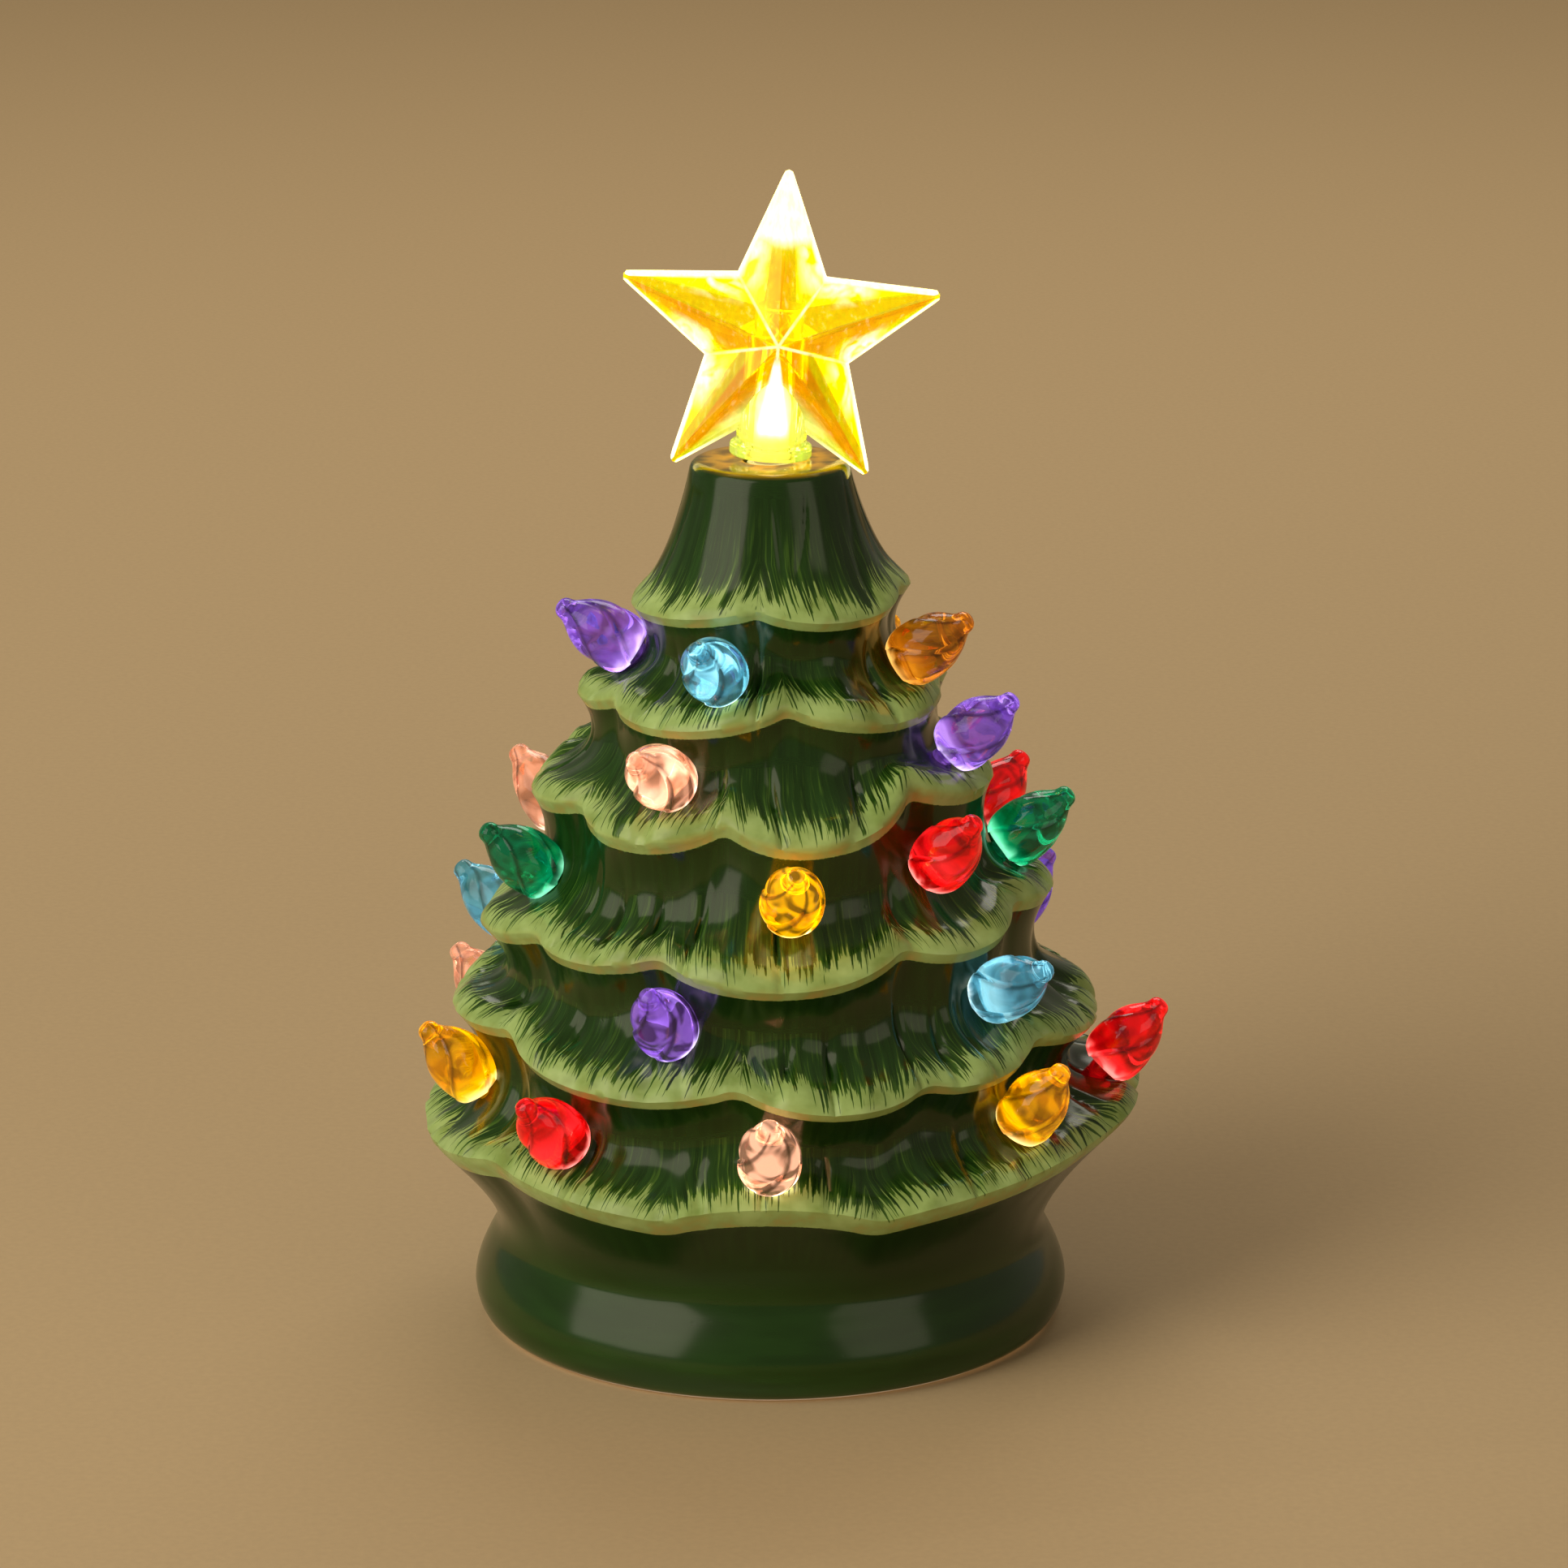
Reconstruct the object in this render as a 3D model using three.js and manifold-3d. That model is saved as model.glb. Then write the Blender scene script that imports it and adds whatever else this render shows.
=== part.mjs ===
// Small lit Christmas tree: a hollow glazed ceramic tree cast in one piece with its base, plastic twist bulbs
// pegged into it, a clear star with its own lamp on top, and a round battery case in the open foot.
// Millimetres, +Z up, origin on the floor at the middle of the foot, front towards -Y.
import * as THREE from 'three';
import { mergeVertices } from 'three/addons/utils/BufferGeometryUtils.js';
import Module from 'manifold-3d';

const wasm = await Module();
wasm.setup();

// Clearances, and how far joined parts reach into each other
const gap = 0.3;
const loose = 0.5;
const bite = 0.2;

// Battery case
const floorRecess = 1.2;
const sheet = 1.6;
const flangeReach = 2.5;
const bayWall = 1.2;
const bayMargin = 0.25;
const cells = 3;
const cellRadius = 5.25;
const cellLength = 44.5;
const cellSpacing = 0.8;
const nubRadius = 1.9;
const nubLength = 1;
const wireRoom = 1.4;
const coilRadius = 2.5;
const coilWire = 0.3;
const coilCurls = 3;
const coilPitch = 1.15;
const contactSheet = 0.4;
const contactWidth = 7;
const hookReach = 2.6;
const hookWidth = 6;
const hookSpacing = 28;
const hookSheet = 1.2;
const earWidth = 10;
const earReach = 7.2;
const earMargin = 1;
const gripLength = 16;
const gripWidth = 0.8;
const gripDepth = 0.4;
const screwHead = 2.3;
const screwHeadDepth = 1;
const screwShank = 1.1;
const screwGrip = 2.6;
const coverScrewGrip = 5;
const screwEase = 0.4;
const crossLength = 3;
const crossWidth = 0.6;
const bossWidth = 7.2;
const bossHeight = 8.2;
const bossSlack = 0.7;
const bossRadius = 2.5;
const bossSpread = 12;
const collarRise = 3;
const switchLength = 11;
const switchDepth = 5;
const switchHeight = 4;
const switchPlace = 11.7;
const knobLength = 3.6;
const knobDepth = 2.4;
const knobProud = 0.5;
const knobFlange = 0.6;
const travel = 4;
const boardLength = 9;
const boardDepth = 6.4;
const boardSheet = 1.2;
const boardPlace = -11;
const boardRise = 2;

// The case's levels and radii follow from the cells that it holds.
const coilLead = 2 * coilWire;
const coilRun = coilCurls * coilPitch + 2 * coilLead;
const cellPitch = 2 * cellRadius + cellSpacing;
const bayHalfWidth = (cells / 2) * cellPitch + gap;
const bayHalfLength = (cellLength + coilRun + contactSheet + 4 * gap) / 2;
const switchBack = bayHalfWidth + bayWall + loose;
const caseRadius = Math.max(
  Math.hypot(bayHalfLength + bayWall, bayHalfWidth + bayWall) + bayMargin,
  Math.hypot(switchPlace + switchLength / 2, switchBack + switchDepth) + sheet + gap,
  Math.hypot(boardLength / 2 - boardPlace, switchBack + boardDepth) + sheet + gap,
);
const flangeRadius = caseRadius + flangeReach;
const caseBore = caseRadius + 2 * gap;
const caseBottom = floorRecess;
const caseFloor = caseBottom + sheet;
const bayTop = caseFloor + 2 * cellRadius + 3 * gap;
const caseTop = bayTop + wireRoom;
const coverBottom = caseTop + gap;
const coverTop = coverBottom + sheet;

// Ceramic: the foot and the base's neck stand round the case
const topHeight = 123.8;
const topRadius = 11.2;
const topEdge = 1.5;
const wall = 3.8;
const hemWall = 7;
const footWall = 3.9;
const neckWall = 3.6;
const neckDrop = 1.2;
const bellyReach = 2.7;
const bellyHeight = 4.6;
const footTurn = 1.2;
const baseSteps = 5;
const aroundSteps = 60;
const footRadius = flangeRadius + loose + footWall;
const bellyRadius = footRadius + bellyReach;

// Tiers from the top: the mean hem of each and the neck under it, their heights as shares of the tree's.
const hemRadii = [17.7, 23.4, 29.5, 37, 42.2, 48];
const hemShares = [0.844, 0.7465, 0.638, 0.494, 0.3715, 0.2425];
const neckRadii = [15.6, 22.8, 29, 34.6, 38.2];
const neckShares = [0.7965, 0.6915, 0.559, 0.43, 0.31];

// Lobes of each hem: the notch where each starts, in degrees from the front towards +X. Then how far
// that notch lies outside and above the mean hem, and the reach and drop of the lobe that follows it.
const notchAngles = [
  [-108, -6, 78, 138, 198],
  [-120, -66, 6, 90, 138, 192],
  [-108, -60, -12, 42, 96, 150, 198],
  [-108, -60, -24, 30, 66, 108, 156, 204],
  [-108, -60, -6, 30, 60, 108, 156, 204],
  [-108, -54, -18, 18, 66, 108, 156, 198],
];
const lobes = [
  [
    [0.5, -1.3, 1.8, 1.4], [-0.3, 0.5, 2, 1.9], [0.5, 0.7, 2, 0.9], [-0.1, 0.2, 2.2, 1.9],
    [-0.3, -0.1, 2.2, 1.9],
  ],
  [
    [0.2, 0.8, 3.2, 2.6], [0.2, -1.8, 3, 2.2], [-0.2, 0.5, 2.6, 3.2], [-0.5, 0.1, 3.2, 2.6],
    [-0.1, 0.1, 3.2, 2.6], [-0.1, 0.1, 3.2, 2.6],
  ],
  [
    [0.5, 0, 3.4, 2.4], [0.7, -1.6, 2.8, 3.2], [0.1, -0.9, 3.4, 4.2], [-0.9, 2, 3.4, 2.2],
    [-1.1, 1.5, 3.4, 2.8], [-0.1, 0, 3.6, 2.8], [0.1, 0, 3.6, 2.8],
  ],
  [
    [-0.4, -0.6, 3.8, 2.9], [0.2, -1.8, 2.2, 1.6], [0.2, -0.6, 4.2, 3.2], [-0.2, 0.2, 2.8, 2.4],
    [-0.2, 1.8, 2.9, 1.2], [0, 1.2, 3.6, 2.8], [0, 0, 3.6, 2.8], [0, 0, 3.6, 2.8],
  ],
  [
    [-1.2, 2.2, 3.6, 2], [-0.4, 0.4, 3.2, 3], [0.2, -1.4, 3.4, 2.4], [0.6, -2.4, 2, 1.8],
    [0.2, -0.8, 4, 2.4], [0.2, 0, 3.6, 2.6], [-0.2, 1, 3.6, 2.6], [-0.6, 2, 3.6, 2.6],
  ],
  [
    [-1.4, 2.2, 2.6, 3.2], [-0.4, -1.2, 1.4, 0], [-0.2, -4.3, -0.6, -2.4], [0, -4.3, 0.6, -0.8],
    [1.6, -1.2, 3.4, -1.2], [1, 2, 3.2, 2.4], [-0.6, 2, 3.2, 2.4], [-1.2, 2, 3.2, 2.4],
  ],
];
const lobeSquareness = 2.3;
const meanReach = 1.5;
const meanDrop = 1.2;
const neckFollow = [0.35, 0.5];

// Section of a tier: round shoulder, lip of the hem, sag of the slope, turn of the underside
const shoulderHeight = 3.9;
const shoulderInset = 1.9;
const lipHeight = 1.7;
const lipInset = 0.9;
const topSag = 0.5;
const tierSag = 0.4;
const slopeShares = [0.3, 0.65, 1];
const underTurn = [0.4, 0.68];

const tiers = hemRadii.map((hemRadius, index) => ({
  hemRadius,
  hemHeight: hemShares[index] * topHeight,
  neckRadius: neckRadii[index] ?? caseBore + neckWall,
  neckHeight: index < neckShares.length ? neckShares[index] * topHeight : coverTop - neckDrop,
  lobes: lobes[index].map((lobe, at) => [notchAngles[index][at], ...lobe]),
}));

// Twist bulbs, tier by tier: colour, angle from the front, share of the way down the tier, rise of the axis
const bulbRadius = 4.75;
const bulbLength = 12.4;
const bulbTwist = 125;
const bulbFold = 0.07;
const petals = 4;
const pegRadius = 1.5;
const pegLength = 5.5;
const bulbRows = [
  [],
  [
    ['purple', -81, 0.27, 34], ['light_blue', -18, 0.48, 34], ['amber', 65, 0.45, 36],
    ['green', 165, 0.5, 38],
  ],
  [['pink', -30, 0.27, 30], ['purple', 68, 0.42, 42], ['gold', 150, 0.4, 42], ['light_blue', -145, 0.4, 42]],
  [
    ['pink', -116, 0.25, 48], ['green', -72, 0.25, 40], ['gold', 5, 0.15, 40], ['red', 45, 0.15, 47],
    ['green', 85, 0.33, 41], ['red', 120, 0.45, 48], ['purple', 165, 0.4, 42], ['red', -163, 0.4, 42],
  ],
  [
    ['light_blue', -117, 0.75, 36], ['purple', -21, 0.3, 45], ['light_blue', 52, 0.15, 30],
    ['purple', 120, 0.35, 48], ['green', 160, 0.45, 42], ['gold', -155, 0.45, 42],
  ],
  [
    ['pink', -113, 0.35, 48], ['gold', -74, 0.3, 49], ['red', -40, 0.45, 42], ['pink', 0, 0.55, 50],
    ['gold', 53, 0.47, 53], ['red', 84, 0.6, 49], ['light_blue', 145, 0.5, 42], ['pink', 178, 0.5, 42],
    ['green', -150, 0.5, 42],
  ],
];
const bulbColors = {
  purple: 0x6a3ec8, light_blue: 0x6fc6ea, amber: 0xc9820f, pink: 0xf09a8c, green: 0x04995a,
  gold: 0xf0a90a, red: 0xd80f1c,
};

// Star and its lamp
const starLean = 3.8;
const starRadius = 22.9;
const starValley = 10.4;
const starDepth = 16;
const starRim = 1.8;
const starCentre = 17.5;
const tipRounding = 0.8;
const collarRadius = 5.7;
const collarHeight = 2.4;
const collarEdge = 0.4;
const hubRadius = 4.9;
const hubHeight = 13;
const starBore = 3.3;
const boreDepth = 21.5;
const lampRadius = 2.5;
const lampHeight = 10;
const lampFlange = 2.85;
const flangeSheet = 1;

// Post, inner lamps and wires
const postRadius = 3.2;
const postBore = 2.2;
const innerLampRadius = 1.5;
const innerLampLength = 5;
const innerLampFlange = 1.8;
const innerLampShares = [0.29, 0.5, 0.71];
const wireRadius = 0.5;
const wireSpread = 1.1;
const wireBend = 1.5;

const degree = Math.PI / 180;
const palette = {
  glaze: [0x24401a, 0.18], starPlastic: [0xffd24a, 0.08], lamp: [0xfff0c0, 0.15], white: [0xe9e7e0, 0.5],
  shell: [0x1d2420, 0.5], steel: [0xb9bcc0, 0.3, 1], cell: [0x3c4248, 0.35], board: [0x1f5a33, 0.6],
  black: [0x17181a, 0.5], red: [0xa81c1c, 0.5],
};

// Turns a closed surface into a solid that can be joined and cut.
function solid(geometry) {
  const plain = geometry.clone();
  for (const name of ['normal', 'uv']) plain.deleteAttribute(name);
  const merged = mergeVertices(plain, 1e-4);
  const mesh = new wasm.Mesh({
    numProp: 3,
    vertProperties: new Float32Array(merged.attributes.position.array),
    triVerts: new Uint32Array(merged.index.array),
  });
  mesh.merge();
  return new wasm.Manifold(mesh);
}

// Turns a solid back into a surface of triangles.
function geometryOf(body) {
  const mesh = body.getMesh();
  const geometry = new THREE.BufferGeometry();
  geometry.setAttribute('position', new THREE.BufferAttribute(mesh.vertProperties, 3));
  geometry.setIndex(new THREE.BufferAttribute(mesh.triVerts, 1));
  geometry.computeVertexNormals();
  return geometry;
}

// Builds a closed surface from rings of equal length: [[x, y, z], ...] from the first cap to the last.
function rings(list) {
  const count = list[0].length;
  const positions = list.flat(2);
  const index = [];
  for (let ring = 0; ring + 1 < list.length; ring += 1) {
    for (let step = 0; step < count; step += 1) {
      const a = ring * count + step;
      const b = ring * count + (step + 1) % count;
      index.push(a, b, a + count, b, b + count, a + count);
    }
  }
  for (const [ring, flip] of [[0, true], [list.length - 1, false]]) {
    const centre = positions.length / 3;
    const mean = [0, 1, 2].map((axis) => list[ring].reduce((sum, p) => sum + p[axis], 0) / count);
    positions.push(...mean);
    for (let step = 0; step < count; step += 1) {
      const a = ring * count + step;
      const b = ring * count + (step + 1) % count;
      index.push(...(flip ? [b, a, centre] : [a, b, centre]));
    }
  }
  const geometry = new THREE.BufferGeometry();
  geometry.setAttribute('position', new THREE.BufferAttribute(new Float32Array(positions), 3));
  geometry.setIndex(index);
  return geometry;
}

// A turned solid about Z from a closed outline of [radius, height] points.
function turned(outline, sides, angle = 0) {
  const points = outline.map(([r, z]) => new THREE.Vector2(r, z));
  if (outline[0][0] > 0) points.push(points[0].clone());
  const geometry = new THREE.LatheGeometry(points, sides).rotateX(Math.PI / 2).rotateZ(angle * degree);
  const body = solid(geometry);
  return body.volume() > 0 ? body : solid(flipped(geometry));
}

function flipped(geometry) {
  const turnedOver = geometry.clone();
  const index = turnedOver.index.array;
  for (let i = 0; i < index.length; i += 3) [index[i], index[i + 1]] = [index[i + 1], index[i]];
  return turnedOver;
}

// A box between two corners.
function block([x0, y0, z0], [x1, y1, z1]) {
  const geometry = new THREE.BoxGeometry(x1 - x0, y1 - y0, z1 - z0);
  geometry.translate((x0 + x1) / 2, (y0 + y1) / 2, (z0 + z1) / 2);
  return solid(geometry);
}

// A plain round bar along Z.
function rod(radius, z0, z1, sides = 12, x = 0, y = 0) {
  return turned([[0, z0], [radius, z0], [radius, z1], [0, z1]], sides).translate([x, y, 0]);
}

function named(name, body, [color, roughness, metalness = 0]) {
  const geometry = body.isBufferGeometry ? body : geometryOf(body);
  const mesh = new THREE.Mesh(geometry, new THREE.MeshStandardMaterial({ color, roughness, metalness }));
  mesh.name = name;
  return mesh;
}

// Ceramic tree

// Radius and height of a tier's hem, bottom edge, at an angle from the front in degrees.
function hem(tier, angle) {
  const { lobes } = tier;
  const turn = ((angle - lobes[0][0]) % 360 + 360) % 360 + lobes[0][0];
  const at = lobes.findLastIndex((lobe) => lobe[0] <= turn);
  const lobe = lobes[at];
  const next = lobes[(at + 1) % lobes.length];
  const end = at + 1 < lobes.length ? next[0] : next[0] + 360;
  const along = (turn - lobe[0]) / (end - lobe[0]);
  const swell = 1 - Math.abs(2 * along - 1) ** lobeSquareness;
  return [
    tier.hemRadius + THREE.MathUtils.lerp(lobe[1], next[1], along) + lobe[3] * swell,
    tier.hemHeight + THREE.MathUtils.lerp(lobe[2], next[2], along) - lobe[4] * swell,
  ];
}

// The neck under a tier follows the hem above it, more gently. Above the first tier it is the tree's
// flat top.
function neck(index, angle) {
  if (index < 0) return [topRadius, topHeight - topEdge];
  const tier = tiers[index];
  if (index === tiers.length - 1) return [tier.neckRadius, tier.neckHeight];
  const [radius, height] = hem(tier, angle);
  return [
    tier.neckRadius + neckFollow[0] * (radius - tier.hemRadius - meanReach),
    tier.neckHeight + neckFollow[1] * (height - tier.hemHeight + meanDrop),
  ];
}

// The top surface of a tier: a share of 0 lies at the neck above, and 1 at the shoulder over the hem.
function onTier(index, angle, share) {
  const [radius, height] = hem(tiers[index], angle);
  const from = neck(index - 1, angle);
  const shoulder = [radius - shoulderInset, height + shoulderHeight];
  const sag = (index ? tierSag : topSag) * share * (1 - share);
  return [
    THREE.MathUtils.lerp(from[0], shoulder[0], share),
    THREE.MathUtils.lerp(from[1], shoulder[1], share + sag),
  ];
}

function tierOutline(index, angle) {
  const [radius, height] = hem(tiers[index], angle);
  const below = neck(index, angle);
  const lip = [radius - lipInset, height];
  return [
    ...slopeShares.map((share) => onTier(index, angle, share)),
    [radius, height + lipHeight],
    lip,
    [
      THREE.MathUtils.lerp(below[0], lip[0], underTurn[0]),
      THREE.MathUtils.lerp(below[1], height, underTurn[1]),
    ],
    below,
  ];
}

// The base swells from the last neck to its belly and turns under to the foot.
function baseOutline() {
  const last = tiers[tiers.length - 1];
  const outline = [];
  for (let step = 1; step <= baseSteps; step += 1) {
    const turn = (step / baseSteps) * 90 * degree;
    outline.push([
      last.neckRadius + (bellyRadius - last.neckRadius) * Math.sin(turn),
      bellyHeight + (last.neckHeight - bellyHeight) * (1 - Math.SQRT2 * Math.sin(turn / 2)),
    ]);
  }
  outline.push([THREE.MathUtils.lerp(footRadius, bellyRadius, 0.7), footTurn], [footRadius, 0]);
  return outline;
}

function around(point) {
  return Array.from({ length: aroundSteps }, (_, step) => {
    const angle = step * (360 / aroundSteps);
    const [radius, height] = point(angle);
    return [radius * Math.sin(angle * degree), -radius * Math.cos(angle * degree), height];
  });
}

function treeSkin() {
  const rows = [
    () => [topRadius - topEdge, topHeight],
    () => [topRadius - topEdge * 0.3, topHeight - topEdge * 0.3],
    () => neck(-1, 0),
  ];
  tiers.forEach((_, index) => {
    for (const row of tierOutline(index, 0).keys()) rows.push((angle) => tierOutline(index, angle)[row]);
  });
  for (const point of baseOutline()) rows.push(() => point);
  return solid(rings(rows.reverse().map(around)));
}

const postFoot = coverTop + gap;
const postTop = topHeight - gap;
const postHole = postRadius + loose;

// The hollow follows the necks and hems inside the wall, and ends in the case's seat at the foot.
function treeHollow() {
  const inside = [[0, topHeight - wall], [(topRadius - topEdge) / 1.6, topHeight - wall]];
  tiers.forEach((tier, index) => {
    const above = index ? tiers[index - 1].neckHeight : topHeight;
    const shoulder = Math.min(tier.hemHeight + 1, above - wall);
    inside.push([tier.hemRadius - (index ? hemWall : hemWall - 2), shoulder]);
    if (index < tiers.length - 1) inside.push([tier.neckRadius - wall, tier.neckHeight]);
  });
  inside.push([caseBore, Math.max(tiers[tiers.length - 1].neckHeight, coverTop + loose)]);
  inside.push([caseBore, caseFloor + gap], [flangeRadius + loose, caseFloor + gap]);
  inside.push([flangeRadius + loose, -1], [0, -1]);
  return turned(inside, 24);
}

// Twist bulbs

// The bulb's outline along its axis: a swelling flower of petals that closes on a small round knob.
const bulbOutline = [
  [0.84, 0], [1, 0.2], [0.96, 0.42], [0.76, 0.62], [0.45, 0.78], [0.29, 0.86], [0.3, 0.94], [0.15, 1],
];

function bulbHead(swell = 0) {
  const sides = petals * 3;
  const list = bulbOutline.map(([reach, rise]) => Array.from({ length: sides }, (_, side) => {
    const angle = (side / sides) * 360;
    const fold = Math.sin(Math.PI * Math.min(1, rise * 1.15)) * bulbFold;
    const radius = (bulbRadius * reach + swell) * (1 + fold * Math.cos(petals * angle * degree));
    const turn = (angle + bulbTwist * rise) * degree;
    const height = rise * (bulbLength + 2 * swell) - swell;
    return [radius * Math.cos(turn), radius * Math.sin(turn), height];
  }));
  return solid(rings(list));
}

const peg = rod(pegRadius, -pegLength, 1, 6);
const pegHole = rod((pegRadius + gap) / Math.cos(30 * degree), -2.4 * pegLength, 3, 6);
const head = bulbHead();
const headRoom = bulbHead(gap);

// A matrix that stands Z on the tree's surface at a place, pushed out along the bulb's own axis.
function bulbMatrix(tier, [, angle, share, rise], push) {
  const [radius, height] = onTier(tier, angle, share);
  const out = new THREE.Vector3(
    Math.sin(angle * degree) * Math.cos(rise * degree),
    -Math.cos(angle * degree) * Math.cos(rise * degree),
    Math.sin(rise * degree),
  );
  const turnRound = angle * degree;
  const seat = new THREE.Vector3(radius * Math.sin(turnRound), -radius * Math.cos(turnRound), height);
  const turn = new THREE.Quaternion().setFromUnitVectors(new THREE.Vector3(0, 0, 1), out);
  return new THREE.Matrix4().compose(seat.addScaledVector(out, push), turn, new THREE.Vector3(1, 1, 1));
}

const moved = (body, matrix) => body.transform(matrix.toArray());

// Each bulb is pushed out until its head clears the glaze by the gap.
function standOff(tier, place, skin) {
  let push = gap;
  while (moved(headRoom, bulbMatrix(tier, place, push)).intersect(skin).volume() > 1e-3) push += 0.1;
  return push;
}

function bulbs(skin) {
  const counts = {};
  const pushes = [];
  const placed = bulbRows.flatMap((row, tier) => row.map((place) => {
    const color = place[0];
    counts[color] = (counts[color] ?? 0) + 1;
    const push = standOff(tier, place, skin);
    pushes.push(push);
    const matrix = bulbMatrix(tier, place, push);
    const mesh = named(`bulb_${color}_${counts[color]}`, head.add(peg), [bulbColors[color], 0.12]);
    mesh.applyMatrix4(matrix);
    return { mesh, matrix };
  }));
  const span = [Math.min(...pushes), Math.max(...pushes)].map((push) => push.toFixed(1));
  console.log(`bulbs stand off their seats by ${span.join(' to ')} mm`);
  return placed;
}

// Star

function starBody() {
  const outline = [];
  const tipSpread = Math.atan(tipRounding / starRadius) / degree;
  for (let point = 0; point < 5; point += 1) {
    const angle = 90 + 72 * point;
    outline.push([starRadius - tipRounding, angle - tipSpread], [starRadius, angle]);
    outline.push([starRadius - tipRounding, angle + tipSpread], [starValley, angle + 36]);
  }
  const edge = (depth) => outline.map(([radius, angle]) => [
    radius * Math.cos(angle * degree), depth, radius * Math.sin(angle * degree) + starCentre,
  ]);
  const geometry = rings([edge(starRim / 2), edge(-starRim / 2)]);
  const position = geometry.attributes.position;
  const last = position.count;
  position.setXYZ(last - 2, 0, starDepth / 2, starCentre);
  position.setXYZ(last - 1, 0, -starDepth / 2, starCentre);
  return solid(geometry);
}

function starTopper() {
  const seat = gap + collarRadius * Math.sin(starLean * degree);
  const hub = turned([
    [0, seat], [collarRadius, seat], [collarRadius, collarHeight - collarEdge],
    [collarRadius - collarEdge, collarHeight], [hubRadius, collarHeight + 1.5 * collarEdge],
    [hubRadius, collarHeight + 0.45 * hubHeight], [hubRadius - 1, collarHeight + 0.85 * hubHeight],
    [0, collarHeight + hubHeight],
  ], 20);
  return starBody().add(hub).subtract(rod(starBore, -1, boreDepth, 16));
}

function lampBody(radius, height, flange, z0) {
  return turned([
    [0, z0], [flange, z0], [flange, z0 + flangeSheet], [radius, z0 + flangeSheet],
    [radius, z0 + height - radius], [radius * 0.87, z0 + height - radius / 2],
    [radius / 2, z0 + height - radius * 0.13], [0, z0 + height],
  ], 12);
}

function starGroup() {
  const group = new THREE.Group();
  group.position.z = topHeight;
  group.rotation.y = starLean * degree;
  group.add(named('star_topper', starTopper(), palette.starPlastic));
  group.add(named('star_lamp', lampBody(lampRadius, lampHeight, lampFlange, loose), palette.lamp));
  return group;
}

// Wires and springs

// A round tube of flat sides along a run of points, closed at both ends.
function tube(points, radius, sides) {
  const path = points.map((p) => new THREE.Vector3(...p));
  const tangents = path.map((_, i) => {
    const before = path[Math.max(i - 1, 0)];
    const after = path[Math.min(i + 1, path.length - 1)];
    return after.clone().sub(before).normalize();
  });
  const side = new THREE.Vector3(1, 0, 0);
  if (Math.abs(tangents[0].x) > 0.9) side.set(0, 1, 0);
  const list = path.map((point, i) => {
    side.addScaledVector(tangents[i], -side.dot(tangents[i])).normalize();
    const other = tangents[i].clone().cross(side);
    return Array.from({ length: sides }, (_, step) => {
      const angle = (step / sides) * 2 * Math.PI;
      const ring = point.clone().addScaledVector(side, radius * Math.cos(angle));
      return ring.addScaledVector(other, radius * Math.sin(angle)).toArray();
    });
  });
  return solid(rings(list));
}

function leastSelfGap(points, diameter, skip) {
  let least = Infinity;
  for (let i = 0; i < points.length; i += 1) {
    for (let j = i + skip; j < points.length; j += 1) {
      least = Math.min(least, new THREE.Vector3(...points[i]).distanceTo(new THREE.Vector3(...points[j])));
    }
  }
  return least - diameter;
}

function coilPoints() {
  const points = [[coilRadius, 0, 0]];
  for (let step = 0; step <= coilCurls * 8; step += 1) {
    const turn = (step / 8) * 2 * Math.PI;
    const rise = coilLead + (step / 8) * coilPitch;
    points.push([coilRadius * Math.cos(turn), coilRadius * Math.sin(turn), rise]);
  }
  points.push([coilRadius, 0, coilRun]);
  return points;
}

// Battery case

const doorHalfLength = bayHalfLength - 2 * gap;
const doorEdge = -bayHalfWidth;
const earEdge = bayHalfWidth + earReach;
const earScrew = earEdge - screwHead - gap - earMargin;
const knobMiddle = switchBack + switchDepth / 2;
const bossBack = bayHalfWidth + bayWall + bossRadius + 2;
const coverBoss = [-1, 1].map((side) => [side * bossSpread, -bossBack]);

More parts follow.
